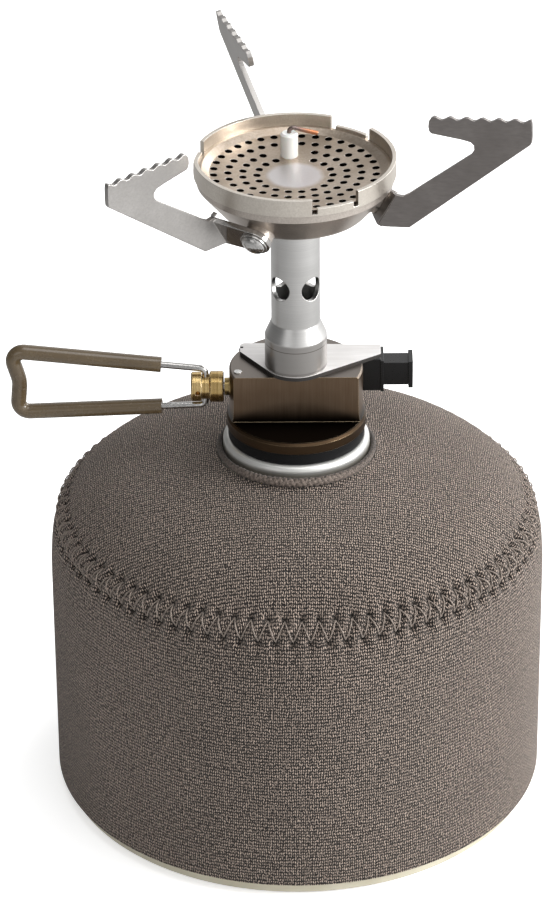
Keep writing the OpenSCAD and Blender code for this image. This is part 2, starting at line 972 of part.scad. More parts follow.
module insulator() {
    low = plate_top_z - flame_t - ceramic_low;
    color("#f4f4f2")
        translate([electrode_x, electrode_y, 0])
            difference() {
                rotate_extrude($fn = fine_fn)
                    polygon([
                        [0, low], [ceramic_r, low],
                        [ceramic_r, ceramic_z - ceramic_round],
                        [ceramic_r - ceramic_round, ceramic_z],
                        [0, ceramic_z]
                    ]);
                translate([0, 0, low - overrun])
                    cylinder(r = lead_r + fit_gap,
                        h = ceramic_z - low + 2 * overrun, $fn = small_fn);
            }
}

// Bent round wire or tube through points of X and Z, with a bend radius at
// each inner point and a bore when one is given
function unit(v) = v / norm(v);
function turn(p, i) =
    let (u = unit(p[i] - p[i - 1]), v = unit(p[i + 1] - p[i]))
    atan2(u[0] * v[1] - u[1] * v[0], u[0] * v[0] + u[1] * v[1]);
function cut(p, r, i) =
    i == 0 || i == len(p) - 1 ? 0 : r[i - 1] * tan(abs(turn(p, i)) / 2);

module wire_profile(r, bore) {
    difference() {
        circle(r = r, $fn = fine_fn);
        if (bore > 0)
            circle(r = bore, $fn = fine_fn);
    }
}

module bent(p, bends, r, bore) {
    rotate([90, 0, 0]) {
        for (i = [0:len(p) - 2]) {
            u = unit(p[i + 1] - p[i]);
            a = p[i] + u * (cut(p, bends, i) - (i > 0 ? bend_lap : 0));
            b = p[i + 1] - u * (
                cut(p, bends, i + 1) - (i < len(p) - 2 ? bend_lap : 0)
            );
            translate([a[0], a[1], 0])
                rotate([0, 90, atan2(u[1], u[0])])
                    linear_extrude(norm(b - a))
                        wire_profile(r, bore);
        }
        for (i = [1:len(p) - 2]) {
            u = unit(p[i] - p[i - 1]);
            t = turn(p, i);
            side = sign(t);
            a = p[i] - u * cut(p, bends, i);
            c = a + side * bends[i - 1] * [-u[1], u[0]];
            from = atan2(-side * u[0], side * u[1]);
            translate([c[0], c[1], 0])
                rotate([0, 0, side > 0 ? from : from + t])
                    rotate_extrude(angle = abs(t))
                        translate([bends[i - 1], 0])
                            wire_profile(r - bend_ease,
                                bore > 0 ? bore + bend_ease : 0);
        }
    }
}

module electrode_wire() {
    x = electrode_x;
    color("#b98068")
        translate([0, electrode_y, 0])
            bent([
                [x, ceramic_z - tip_rise], [x, ceramic_z + tip_rise],
                [x + tip_reach, ceramic_z + tip_rise - tip_drop]
            ], [tip_bend], wire_tip_r, 0);
}

module ignition_lead() {
    reach = norm([electrode_x, electrode_y - lead_y]);
    slant_z = tube_top_z + 3 * lead_r;
    color("#5a5b5d") {
        rotate([0, 0, 90])
            bent([
                [pocket_y, lead_start_z], [lead_y, lead_start_z],
                [lead_y, air_z]
            ], [lead_bend], lead_r - bend_ease, 0);
        translate([0, lead_y, 0])
            rotate([0, 0, atan2(electrode_y - lead_y, electrode_x)])
                bent([
                    [0, air_z - bend_lap], [0, slant_z],
                    [reach, plate_top_z - flame_t - ceramic_low - lead_r],
                    [reach, ceramic_z - tip_rise]
                ], [lead_bend, lead_bend], lead_r, 0);
    }
}

module igniter_housing() {
    color("#19191a")
        translate([0, ign_y, ign_z])
            difference() {
                union() {
                    translate([ign_left, -ign_half_y, -ign_half_z])
                        cube([
                            plate_right - ign_left, 2 * ign_half_y,
                            2 * ign_half_z
                        ]);
                    translate([plate_right, -flange_half_y, -flange_half_z])
                        cube([flange_t, 2 * flange_half_y, 2 * flange_half_z]);
                }
                along_x(ign_left + piezo_in, guide_start + overrun,
                    piezo_bore_r);
                translate([
                    guide_start, -button_half_y - slide_gap,
                    -button_half_z - slide_gap
                ])
                    cube([
                        plate_right + flange_t + overrun - guide_start,
                        2 * button_half_y + 2 * slide_gap,
                        2 * button_half_z + 2 * slide_gap
                    ]);
            }
}

module piezo_unit() {
    start = ign_left + piezo_in + fit_gap;
    floor_x = plunger_start - button_travel - plunger_end_gap;
    color("#d7c8a2")
        translate([0, ign_y, ign_z])
            difference() {
                along_x(start, start + piezo_len, piezo_r);
                along_x(floor_x, start + piezo_len + overrun,
                    plunger_r + run_gap);
            }
}

module piezo_plunger() {
    color("#b9babb")
        translate([0, ign_y, ign_z])
            along_x(plunger_start, button_in, plunger_r);
}

module igniter_button() {
    color("#232325")
        translate([0, ign_y, ign_z]) {
            translate([button_in, -button_half_y, -button_half_z])
                cube([
                    button_out - button_in, 2 * button_half_y,
                    2 * button_half_z
                ]);
            difference() {
                translate([button_out, -cap_half_y, -cap_half_z])
                    cube([cap_t, 2 * cap_half_y, 2 * cap_half_z]);
                for (side = [-1, 1])
                    translate([
                        button_out + cap_t - cap_groove,
                        side * cap_half_y / 2 - cap_groove / 2,
                        -cap_half_z - overrun
                    ])
                        cube([
                            cap_t, cap_groove, 2 * cap_half_z + 2 * overrun
                        ]);
            }
        }
}

module valve_knob() {
    color("#b8924a")
        translate([0, 0, spindle_z])
            difference() {
                rotate([0, -90, 0])
                    rotate_extrude()
                        polygon([
                            [0, knob_in_x], [knob_r - knob_chamfer, knob_in_x],
                            [knob_r, knob_in_x + knob_chamfer],
                            [knob_r, knob_neck_x - knob_chamfer],
                            [knob_r - knob_chamfer, knob_neck_x],
                            [knob_neck_r, knob_neck_x],
                            [knob_neck_r, knob_mid_x],
                            [knob_end_r, knob_mid_x],
                            [knob_end_r, knob_end_x - knob_chamfer],
                            [knob_end_r - knob_chamfer, knob_end_x],
                            [0, knob_end_x]
                        ]);
                along_x(-knob_bore_in, 0, spindle_r + fit_gap);
                translate([-pivot_x, 0, -knob_end_r])
                    cylinder(r = wire_r + run_gap, h = 2 * knob_end_r,
                        $fn = fine_fn);
                translate([-cross_x, -knob_end_r - overrun, 0])
                    rotate([-90, 0, 0])
                        cylinder(r = cross_r,
                            h = 2 * knob_end_r + 2 * overrun,
                            $fn = small_fn);
            }
}

module needle_spindle() {
    color("#c7c8ca")
        translate([0, 0, spindle_z])
            rotate([0, -90, 0])
                rotate_extrude()
                    polygon([
                        [0, needle_in - needle_len], [spindle_r, needle_in],
                        [spindle_r, knob_bore_in - fit_gap],
                        [0, knob_bore_in - fit_gap]
                    ]);
}

function handle_point(share) =
    [-pivot_x - share[0] * handle_len, share[1] * handle_half];
loop_points = [for (q = loop_share) handle_point(q)];
near_points = [
    handle_point([0, near_share]), handle_point([0, -near_share])
];
loop_bends = handle_bend * loop_bend_share;

// The point of a straight stretch at the grip's end
function at_grip(near, far) =
    near + (far - near) * grip_from / (near[0] - far[0]);

module at_handle() {
    translate([-pivot_x, 0, spindle_z])
        rotate([0, 0, handle_yaw])
            translate([pivot_x, 0, 0])
                children();
}

module handle_wire() {
    near_bend = handle_bend * near_bend_share;
    color("#cfd0d2")
        at_handle()
            bent(
                concat(
                    [[-pivot_x, pivot_in], near_points[0]], loop_points,
                    [near_points[1], [-pivot_x, -pivot_in]]
                ),
                concat([near_bend], loop_bends, [near_bend]), wire_r, 0
            );
}

module handle_grip() {
    color("#5f5340")
        at_handle()
            bent(
                concat(
                    [at_grip(near_points[0], loop_points[0])], loop_points,
                    [at_grip(near_points[1], loop_points[2])]
                ),
                loop_bends, grip_r, wire_r + fit_gap
            );
}

// Level outline of a pot support in its own plane: radius and height
arm_span = arm_reach - arm_low_s;
function teeth(n) = [
    for (i = [0:tooth_steps * n - 1]) [
        arm_reach - (arm_reach - arm_top_in) * i / (tooth_steps * n),
        pot_z - tooth_h * (1 - cos(360 * i / tooth_steps)) / 2
    ]
];
arm_top_in = arm_low_s + arm_inner_share[0][0] * arm_span;

// Where the tab's middle plane crosses the blade's middle plane
function bend_s(z) =
    (hinge_r * cos(hinge_az) * sin(rivet_tilt)
        + (z - hinge_z) * cos(rivet_tilt) + hinge_out
        + blade_off * sin(blade_az) * sin(rivet_tilt))
        / (sin(rivet_tilt) * cos(blade_az));

function arm_outline() = concat(
    [[bend_s(bend_low_z), bend_low_z + tooth_h / 2],
     [bend_s(bend_low_z) + arm_t, bend_low_z]],
    placed(arm_share, arm_low_s, arm_span, arm_low_z, arm_rise),
    [for (p = teeth(tooth_n)) p],
    placed(arm_inner_share, arm_low_s, arm_span, arm_low_z, arm_rise),
    [[bend_s(bend_high_z), bend_high_z + tooth_h]]
);

module arm() {
    spread = bend_reach();
    difference() {
        union() {
            rotate([0, 0, blade_az])
                translate([0, blade_off + arm_t / 2, 0])
                    rotate([90, 0, 0])
                        linear_extrude(arm_t)
                            polygon(arm_outline());
            at_hinge(0)
                translate([0, 0, -arm_t / 2])
                    linear_extrude(arm_t) {
                        circle(r = tab_end_r);
                        polygon([
                            [-tab_end_r, 0], [tab_end_r, 0],
                            [spread[0][0], spread[0][1]],
                            [spread[1][0], spread[1][1]]
                        ]);
                    }
        }
        at_hinge(0)
            translate([0, 0, -arm_t / 2 - overrun])
                cylinder(r = rivet_r + run_gap, h = arm_t + 2 * overrun);
    }
}

// Ends of the bend line in the hinge's frame
function to_hinge(p) =
    let (
        d = [p[0] - hinge_r * cos(hinge_az), p[1] - hinge_r * sin(hinge_az),
             p[2] - hinge_z]
    )
    [-d[0] * cos(rivet_tilt) - d[2] * sin(rivet_tilt), d[1]];
function blade_point(s, z) = [
    s * cos(blade_az) - blade_off * sin(blade_az),
    s * sin(blade_az) + blade_off * cos(blade_az), z
];
function bend_reach() = [
    to_hinge(blade_point(bend_s(bend_low_z), bend_low_z)),
    to_hinge(blade_point(bend_s(bend_high_z), bend_high_z))
];

module arm_left() {
    color("#bab7b4") rotate([0, 0, left_az]) arm();
}

module arm_right() {
    color("#7b7673") rotate([0, 0, right_az]) folded(right_fold) arm();
}

module arm_back() {
    color("#adadac") rotate([0, 0, back_az]) folded(back_fold) arm();
}

module rivet(az) {
    head_low = arm_t / 2 + 2 * fit_gap + washer_t;
    low = rivet_in_z - upset_h;
    color("#d3d2d0")
        at_hinge(az) {
            translate([0, 0, low])
                cylinder(r = upset_r, h = upset_h);
            translate([0, 0, low])
                cylinder(r = rivet_r, h = head_low - low);
            translate([0, 0, head_low])
                rotate_extrude()
                    polygon(concat(
                        [[0, 0]],
                        [for (t = [0:15:90])
                            [head_r * cos(t), head_h * sin(t)]]
                    ));
        }
}

module rivet_left() { rivet(left_az); }
module rivet_right() { rivet(right_az); }
module rivet_back() { rivet(back_az); }

module washer(az) {
    color("#e4e3e1")
        at_hinge(az)
            ring(washer_r, washer_bore_r, arm_t / 2 + fit_gap,
                arm_t / 2 + fit_gap + washer_t);
}

module washer_left() { washer(left_az); }
module washer_right() { washer(right_az); }
module washer_back() { washer(back_az); }

can_base();
can_body();
valve_cup();
thread_boss();
valve_gasket();
valve_stem();
valve_housing();
sleeve_side();
sleeve_top();
neck_binding();
seam_thread();
seat_ring();
thread_socket();
probe_pin();
probe_oring();
valve_block();
block_pin();
gland_nut();
spindle_oring();
jet();
jet_filter();
bracket_plate();
mixing_tube();
burner_bowl();
rim_wall();
flame_plate();
insulator();
electrode_wire();
ignition_lead();
igniter_housing();
piezo_unit();
piezo_plunger();
igniter_button();
valve_knob();
needle_spindle();
handle_wire();
handle_grip();
arm_left();
arm_right();
arm_back();
rivet_left();
rivet_right();
rivet_back();
washer_left();
washer_right();
washer_back();
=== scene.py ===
"""Looks of a tabletop gas stove that stands on a canister in a knit sleeve."""

import logging
import math
from dataclasses import dataclass, field
from enum import Enum

import bpy
import numpy as np
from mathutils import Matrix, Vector


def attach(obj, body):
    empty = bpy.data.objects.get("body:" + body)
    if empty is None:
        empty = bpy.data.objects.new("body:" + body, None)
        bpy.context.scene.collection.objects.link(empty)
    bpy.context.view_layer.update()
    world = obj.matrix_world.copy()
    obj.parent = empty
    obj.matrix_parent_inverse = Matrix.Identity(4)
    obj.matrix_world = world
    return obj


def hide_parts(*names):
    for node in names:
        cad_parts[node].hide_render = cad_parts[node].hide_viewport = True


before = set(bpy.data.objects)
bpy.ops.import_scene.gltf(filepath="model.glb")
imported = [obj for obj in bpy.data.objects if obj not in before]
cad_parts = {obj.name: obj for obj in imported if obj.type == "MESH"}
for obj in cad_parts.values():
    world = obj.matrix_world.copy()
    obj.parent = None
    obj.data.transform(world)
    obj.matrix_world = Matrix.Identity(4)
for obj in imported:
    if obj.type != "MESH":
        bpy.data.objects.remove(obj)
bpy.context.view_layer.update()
LOG = logging.getLogger("stove")
MM = 0.001
WELD = 1e-7
BEVEL_SAMPLES = 6

# Names that a mesh and its material share
KNIT_UV = "knit_mm"
HOLE_SHADE = "needle_hole_shade"
WRAP_SHADE = "wrap_shade"

Triple = tuple[float, float, float]
Colour = tuple[float, float, float, float]
Tree = bpy.types.NodeTree
Socket = bpy.types.NodeSocket
Layer = tuple[bpy.types.Node, str]


# Small helpers


def linear(hex_code: str) -> Colour:
    """Turn an sRGB hex colour into the linear colour that a shader works in.

    Args:
        hex_code: six hex digits after a hash.

    Returns:
        Red, green, blue and alpha, linear.
    """
    parts = [int(hex_code[i:i + 2], 16) / 255 for i in (1, 3, 5)]
    red, green, blue = (c / 12.92 if c <= 0.04045 else ((c + 0.055) / 1.055) ** 2.4 for c in parts)
    return red, green, blue, 1.0


def plug(tree: Tree, node: bpy.types.Node, links: dict) -> None:
    """Fill or link a node's inputs.

    Args:
        tree: the node tree that the node is in.
        node: the node.
        links: input name or index to a value, an output, or a node for its first output.
    """
    for key, value in links.items():
        if isinstance(value, bpy.types.Node):
            value = value.outputs[0]
        if isinstance(value, Socket):
            tree.links.new(value, node.inputs[key])
        else:
            node.inputs[key].default_value = value


def add(tree: Tree, kind: str, links: dict | None = None, **settings) -> bpy.types.Node:
    """Add a shader node, set its properties and fill or link its inputs.

    Args:
        tree: the node tree that the node goes into.
        kind: the node's type, without the leading ShaderNode.
        links: what its inputs get, as plug takes it.
        **settings: properties of the node itself.

    Returns:
        The new node.
    """
    node = tree.nodes.new("ShaderNode" + kind)
    for name, value in settings.items():
        setattr(node, name, value)
    plug(tree, node, links or {})
    return node


def new_material(name: str) -> tuple[bpy.types.Material, Tree]:
    """Start a material.

    Args:
        name: the material's name.

    Returns:
        The material and its nodes.
    """
    material = bpy.data.materials.new(name)
    material.use_nodes = True
    return material, material.node_tree


def paint(tree: Tree, links: dict) -> None:
    """Fill or link the inputs of a new material's shader."""
    plug(tree, tree.nodes["Principled BSDF"], links)


def place_in_mm(tree: Tree, centre: Triple = (0.0, 0.0, 0.0), turn: Triple = (0.0, 0.0, 0.0)) -> Socket:
    """Give the place on the object in millimetres.

    Args:
        tree: the material's nodes.
        centre: where the place is nought, in millimetres.
        turn: angles in radians by which it is turned.

    Returns:
        The place's socket.
    """
    place = add(tree, "TexCoord").outputs["Object"]
    mm = add(tree, "Mapping", {"Vector": place, "Scale": (1 / MM, 1 / MM, 1 / MM), "Rotation": turn,
                               "Location": tuple(-c for c in centre)})
    return mm.outputs[0]


def select_only(obj: bpy.types.Object) -> None:
    """Deselect everything and make one object selected and active.

    Args:
        obj: the object, in object mode.
    """
    bpy.ops.object.select_all(action="DESELECT")
    obj.select_set(True)
    bpy.context.view_layer.objects.active = obj


def bake_place(obj: bpy.types.Object) -> None:
    """Move an object's place, turn and size into its mesh, so that it sits at the origin."""
    select_only(obj)
    bpy.ops.object.transform_apply(location=True, rotation=True, scale=True)


def apply_all(obj: bpy.types.Object) -> None:
    """Apply every modifier of an object, in order.

    Args:
        obj: the object, in object mode.
    """
    select_only(obj)
    for modifier in list(obj.modifiers):
        bpy.ops.object.modifier_apply(modifier=modifier.name)


def edit(obj: bpy.types.Object) -> None:
    """Open an object's mesh for editing, with all of it selected.

    Args:
        obj: the object, in object mode.
    """
    select_only(obj)
    bpy.ops.object.mode_set(mode="EDIT")
    bpy.ops.mesh.select_all(action="SELECT")


def weld(obj: bpy.types.Object) -> None:
    """Merge an object's doubles and turn its faces outwards.

    Args:
        obj: the object, in object mode.
    """
    edit(obj)
    bpy.ops.mesh.remove_doubles(threshold=WELD)
    bpy.ops.mesh.normals_make_consistent(inside=False)
    bpy.ops.object.mode_set(mode="OBJECT")


def profile(name: str, points: list[tuple[float, float]]) -> bpy.types.Object:
    """Draw a chain of edges in the XZ plane by extruding one vertex along it.

    Args:
        name: the new object's name.
        points: radius and height of each point, in metres.

    Returns:
        The object, in object mode.
    """
    bpy.ops.object.select_all(action="DESELECT")
    bpy.ops.mesh.primitive_plane_add(size=MM, location=(0, 0, 0))
    obj = bpy.context.object
    obj.name = obj.data.name = name
    edit(obj)
    bpy.ops.mesh.merge(type="CENTER")
    bpy.ops.transform.translate(value=(points[0][0], 0, points[0][1]))
    for a, b in zip(points, points[1:]):
        bpy.ops.mesh.extrude_vertices_move(
            TRANSFORM_OT_translate={"value": (b[0] - a[0], 0, b[1] - a[1])})
    bpy.ops.object.mode_set(mode="OBJECT")
    return obj


def spin_round(obj: bpy.types.Object, steps: int) -> None:
    """Spin a profile once round the Z axis and close it.

    Args:
        obj: the profile, in object mode.
        steps: how many steps the round takes.
    """
    edit(obj)
    bpy.ops.mesh.spin(steps=steps, angle=math.tau, center=(0, 0, 0), axis=(0, 0, 1), use_auto_merge=True)
    bpy.ops.object.mode_set(mode="OBJECT")
    weld(obj)


def points_of(obj: bpy.types.Object) -> np.ndarray:
    """Read where a mesh's vertices are.

    Args:
        obj: the object.

    Returns:
        X, Y and Z of each vertex, in metres.
    """
    co = np.empty(len(obj.data.vertices) * 3, np.float64)
    obj.data.vertices.foreach_get("co", co)
    return co.reshape(-1, 3)


def set_points(obj: bpy.types.Object, co: np.ndarray) -> None:
    """Write moved vertices back to a mesh."""
    obj.data.vertices.foreach_set("co", co.astype(np.float32).ravel())
    obj.data.update()


def polar(co: np.ndarray) -> tuple[np.ndarray, np.ndarray]:
    """Return the radius and the angle of points round the Z axis."""
    return np.hypot(co[:, 0], co[:, 1]), np.arctan2(co[:, 1], co[:, 0])


def note(obj: bpy.types.Object, name: str, values: np.ndarray) -> None:
    """Note a number on each vertex under a name that its material reads."""
    layer = obj.data.attributes.new(name, "FLOAT", "POINT")
    layer.data.foreach_set("value", values.astype(np.float32))


def bell(away: np.ndarray, wide: float) -> np.ndarray:
    """Return a smooth rise that is 1 in the middle and fades over a width."""
    return np.exp(-(away / wide) ** 2)


def tubes(name: str, paths: list[list[Vector]], radius: float, sides: int) -> bpy.types.Object:
    """Make round tubes along open paths and turn them into one mesh.

    Args:
        name: the new object's name.
        paths: points of each tube's centreline, in metres.
        radius: the tubes' radius, in metres.
        sides: how many sides each tube has, 4 or more and even.

    Returns:
        The mesh object.
    """
    curve = bpy.data.curves.new(name, "CURVE")
    curve.dimensions = "3D"
    curve.bevel_depth = radius
    curve.bevel_resolution = sides // 2 - 2
    curve.resolution_u = 3
    curve.use_fill_caps = True
    for path in paths:
        spline = curve.splines.new("NURBS")
        spline.points.add(len(path) - 1)
        for p, co in zip(spline.points, path):
            p.co = (*co, 1.0)
        spline.order_u = 3
        spline.use_endpoint_u = True
    obj = bpy.data.objects.new(name, curve)
    bpy.context.scene.collection.objects.link(obj)
    select_only(obj)
    bpy.ops.object.convert(target="MESH")
    obj = bpy.context.object
    obj.data.name = name
    weld(obj)
    bpy.ops.object.shade_smooth()
    return obj


# Finishes


class Grain(Enum):
    """How a metal's surface was made: how much its marks change along X, Y and Z.

    A turned surface has a nought for the axis that it was turned round.
    """

    TURNED = (1.0, 1.0, 0.0)  # rings round the Z axis, from a lathe
    TURNED_X = (0.0, 1.0, 1.0)  # rings round the spindle, from a lathe
    BRUSHED = (0.03, 1.0, 1.0)  # short scratches along X, from a belt
    DRAWN = (1.0, 1.0, 0.02)  # marks that run up, from drawing a tube or wire
    BLASTED = (1.0, 1.0, 1.0)  # fine pits all over, from beads or tumbling


@dataclass(frozen=True)
class Metal:
    """A metal finish: colour, shine, and the marks that its making left."""

    name: str
    colour: str
    shade: str
    roughness: float
    grain: Grain
    grain_mm: float
    depth_mm: float = 0.01
    rough_swing: float = 0.08
    edge_mm: float = 0.12
    cloud_mm: float = 9.0
    metallic: float = 1.0
    centre_mm: Triple = (0.0, 0.0, 0.0)
    # Painted highlight: a paler colour laid on every edge that the bevel finds
    edge_highlight: float = 0.45
    edge_highlight_colour: str = "#f6f3ef"
    shaded_wall_colour: str = ""

    def marks(self, tree: Tree, mm: Socket) -> Socket:
        """Lay the marks of the making as a height from 0 to 1.

        Args:
            tree: the material's nodes.
            mm: the place on the object, in millimetres.

        Returns:
            The height's socket.
        """
        where = add(tree, "Mapping", {"Vector": mm, "Scale": self.grain.value})
        if 0.0 in self.grain.value:
            radius = add(tree, "VectorMath", {0: where}, operation="LENGTH")
            split = add(tree, "SeparateXYZ", {0: mm})
            along = split.outputs[self.grain.value.index(0.0)]
            where = add(tree, "CombineXYZ", {0: radius.outputs["Value"], 1: along})
        noise = add(tree, "TexNoise", {"Vector": where, "Scale": 1.0 / self.grain_mm, "Detail": 3.0,
                                       "Roughness": 0.6})
        return noise.outputs[0]

    def layers(self, tree: Tree, mm: Socket) -> list[Layer]:
        """List what lies over the metal's own colour: here painted shade on the upright walls of a sheet.

        Args:
            tree: the material's nodes.
            mm: the place on the object, in millimetres.

        Returns:
            A mask from 0 to 1 and a colour for each layer, the lowest first.
        """
        if not self.shaded_wall_colour:
            return []
        lie = add(tree, "SeparateXYZ", {0: add(tree, "NewGeometry").outputs["Normal"]})
        flat = add(tree, "Math", {0: lie.outputs[2]}, operation="ABSOLUTE")
        wall = add(tree, "MapRange", {0: flat, 1: 0.2, 2: 0.5, 3: 1.0, 4: 0.0})
        return [(wall, self.shaded_wall_colour)]

    def shine(self, tree: Tree, mm: Socket, marks: Socket) -> Socket:
        """Vary the roughness with the marks.

        Args:
            tree: the material's nodes.
            mm: the place on the object, in millimetres.
            marks: the marks' height.

        Returns:
            The roughness's socket.
        """
        rough = add(tree, "MapRange", {0: marks, 1: 0.25, 2: 0.75, 3: self.roughness - self.rough_swing,
                                       4: self.roughness + self.rough_swing})
        return rough.outputs[0]

    def build(self) -> bpy.types.Material:
        """Build the material's nodes.

        Returns:
            The material.
        """
        material, tree = new_material(self.name)
        mm = place_in_mm(tree, self.centre_mm)
        marks = self.marks(tree, mm)
        # Painted highlight: where the bevelled normal turns from the face, at every edge, the colour turns
        # paler
        edge = add(tree, "Bevel", {0: self.edge_mm * MM}, samples=BEVEL_SAMPLES)
        face = add(tree, "NewGeometry").outputs["Normal"]
        turned = add(tree, "VectorMath", {0: edge, 1: face}, operation="DOT_PRODUCT")
        worn = add(tree, "MapRange", {0: turned.outputs["Value"], 1: 0.8, 2: 0.96, 3: self.edge_highlight, 4: 0.0})
        cloud = add(tree, "TexNoise", {"Vector": mm, "Scale": 1.0 / self.cloud_mm})
        both = add(tree, "Math", {0: cloud, 1: marks}, operation="MULTIPLY")
        level = add(tree, "MapRange", {0: both, 1: 0.12, 2: 0.42})
        colour = linear(self.shade)
        for mask, over in [(level, self.colour)] + self.layers(tree, mm) + [(worn, self.edge_highlight_colour)]:
            mix = add(tree, "Mix", {0: mask, 6: colour, 7: linear(over)}, data_type="RGBA")
            colour = mix.outputs[2]
        bump = add(tree, "Bump", {"Distance": self.depth_mm * MM, "Height": marks, "Normal": edge})
        paint(tree, {"Base Color": colour, "Roughness": self.shine(tree, mm, marks), "Normal": bump,
                     "Metallic": self.metallic})
        return material


@dataclass(frozen=True)
class PlateMetal(Metal):
    """A pressed burner plate, whose plain centre was coined pale."""

    centre_colour: str = "#d3cfcf"
    centre_r_mm: float = 5.5
    fade_mm: float = 1.8
    wobble_mm: float = 0.9

    def layers(self, tree: Tree, mm: Socket) -> list[Layer]:
        """Lay the pale centre under what any metal has.

        Args:
            tree: the material's nodes.
            mm: the place on the object, in millimetres.

        Returns:
            A mask and a colour for each layer.
        """
        plan = add(tree, "Mapping", {"Vector": mm, "Scale": (1.0, 1.0, 0.0)})
        radius = add(tree, "VectorMath", {0: plan}, operation="LENGTH")
        wobble = add(tree, "TexNoise", {"Vector": mm, "Scale": 0.5})
        shifted = add(tree, "Math", {0: wobble, 1: self.wobble_mm, 2: radius.outputs["Value"]},
                      operation="MULTIPLY_ADD")
        disc = add(tree, "MapRange", {0: shifted, 1: self.centre_r_mm, 2: self.centre_r_mm + self.fade_mm,
                                      3: 1.0, 4: 0.0}, interpolation_type="SMOOTHSTEP")
        return [(disc, self.centre_colour)] + super().layers(tree, mm)


@dataclass(frozen=True)
class InsideDarkMetal(Metal):
    """A bowl that is darker on the faces that look towards its axis and up."""

    inside_colour: str = "#1d1713"

    def layers(self, tree: Tree, mm: Socket) -> list[Layer]:
        """Lay a darker colour on what faces the axis or up.

        Args:
            tree: the material's nodes.
            mm: the place on the object, in millimetres.

        Returns:
            A mask and a colour for each layer.
        """
        plan = add(tree, "Mapping", {"Vector": mm, "Scale": (1.0, 1.0, 0.0)})
        out = add(tree, "VectorMath", {0: plan}, operation="NORMALIZE")
        face = add(tree, "NewGeometry").outputs["Normal"]
        outward = add(tree, "VectorMath", {0: out, 1: face}, operation="DOT_PRODUCT")
        inside = add(tree, "MapRange", {0: outward.outputs["Value"], 1: 0.1, 2: 0.02})
        lie = add(tree, "SeparateXYZ", {0: face})
        up = add(tree, "MapRange", {0: lie.outputs[2], 1: -0.3, 2: -0.1})
        both = add(tree, "Math", {0: inside, 1: up}, operation="MULTIPLY")
        return [(both, self.inside_colour)] + super().layers(tree, mm)


@dataclass(frozen=True)
class PolishedEndMetal(Metal):
    """An arm that is worn to a polish round its rivet."""

    hinge_mm: Triple = (-9.0, -18.0, 146.0)
    reach_mm: float = 7.0
    fade_mm: float = 2.0
    polished: float = 0.12

    def shine(self, tree: Tree, mm: Socket, marks: Socket) -> Socket:
        """Vary the roughness with the marks and drop it near the rivet.

        Args:
            tree: the material's nodes.
            mm: the place on the object, in millimetres.
            marks: the marks' height.

        Returns:
            The roughness's socket.
        """
        body = super().shine(tree, mm, marks)
        away = add(tree, "VectorMath", {0: mm, 1: self.hinge_mm}, operation="DISTANCE")
        near = add(tree, "MapRange", {0: away.outputs["Value"], 1: self.reach_mm,
                                      2: self.reach_mm + self.fade_mm, 3: 1.0, 4: 0.0},
                   interpolation_type="SMOOTHSTEP")
        mix = add(tree, "Mix", {0: near, 2: body, 3: self.polished}, data_type="FLOAT")
        return mix.outputs[0]


@dataclass(frozen=True)
class FootedMetal(Metal):
    """A turned piece with another colour at its foot (painted shade on the lip, a painted dark reflection on
    the block), a band below it, a scribed line and its own top (a painted reflection).
    """

    foot_colour: str = "#17120f"
    from_z_mm: float = 94.1
    to_z_mm: float = 97.6
    band_colour: str = "#4a3b2c"
    band_z_mm: float = 94.0
    band_fade_mm: float = 0.05
    line_z_mm: float = 0.0
    line_mm: float = 0.12
    line_colour: str = "#726e6a"
    top_reflection_colour: str = ""

    def layers(self, tree: Tree, mm: Socket) -> list[Layer]:
        """Lay the foot's colour, the band, the line and the top.

        Args:
            tree: the material's nodes.
            mm: the place on the object, in millimetres.

        Returns:
            A mask and a colour for each layer.
        """
        z = add(tree, "SeparateXYZ", {0: mm}).outputs[2]
        # Painted shade and dark reflection: the colour darkens towards the foot
        foot = add(tree, "MapRange", {0: z, 1: self.from_z_mm, 2: self.to_z_mm, 3: 1.0, 4: 0.0},
                   interpolation_type="SMOOTHSTEP")
        band = add(tree, "MapRange", {0: z, 1: self.band_z_mm - self.band_fade_mm, 2: self.band_z_mm,
                                      3: 1.0, 4: 0.0})
        off = add(tree, "Math", {0: z, 1: self.line_z_mm}, operation="SUBTRACT")
        away = add(tree, "Math", {0: off}, operation="ABSOLUTE")
        line = add(tree, "MapRange", {0: away, 1: self.line_mm / 2, 2: self.line_mm, 3: 1.0, 4: 0.0})
        found = [(foot, self.foot_colour), (band, self.band_colour), (line, self.line_colour)]
        # Painted reflection: upward faces away from the foot take a paler grey
        if self.top_reflection_colour:
            lie = add(tree, "SeparateXYZ", {0: add(tree, "NewGeometry").outputs["Normal"]})
            level = add(tree, "MapRange", {0: lie.outputs[2], 1: 0.6, 2: 0.8})
            up = add(tree, "Math", {0: 1.0, 1: foot}, operation="SUBTRACT")
            found.append((add(tree, "Math", {0: level, 1: up}, operation="MULTIPLY"), self.top_reflection_colour))
        return found + super().layers(tree, mm)


@dataclass(frozen=True)
class TintedWire(Metal):
    """A spark electrode, grey where it leaves the ceramic and copper red at its hot tip."""

    hot_colour: str = "#d08a63"
    from_x_mm: float = 0.0
    to_x_mm: float = 4.5

    def layers(self, tree: Tree, mm: Socket) -> list[Layer]:
        """Lay the heat tint, which grows along X.

        Args:
            tree: the material's nodes.
            mm: the place on the object, in millimetres.

        Returns:
            A mask and a colour for each layer.
        """
        x = add(tree, "SeparateXYZ", {0: mm})
        along = add(tree, "MapRange", {0: x, 1: self.from_x_mm, 2: self.to_x_mm},
                    interpolation_type="SMOOTHSTEP")
        return [(along, self.hot_colour)] + super().layers(tree, mm)


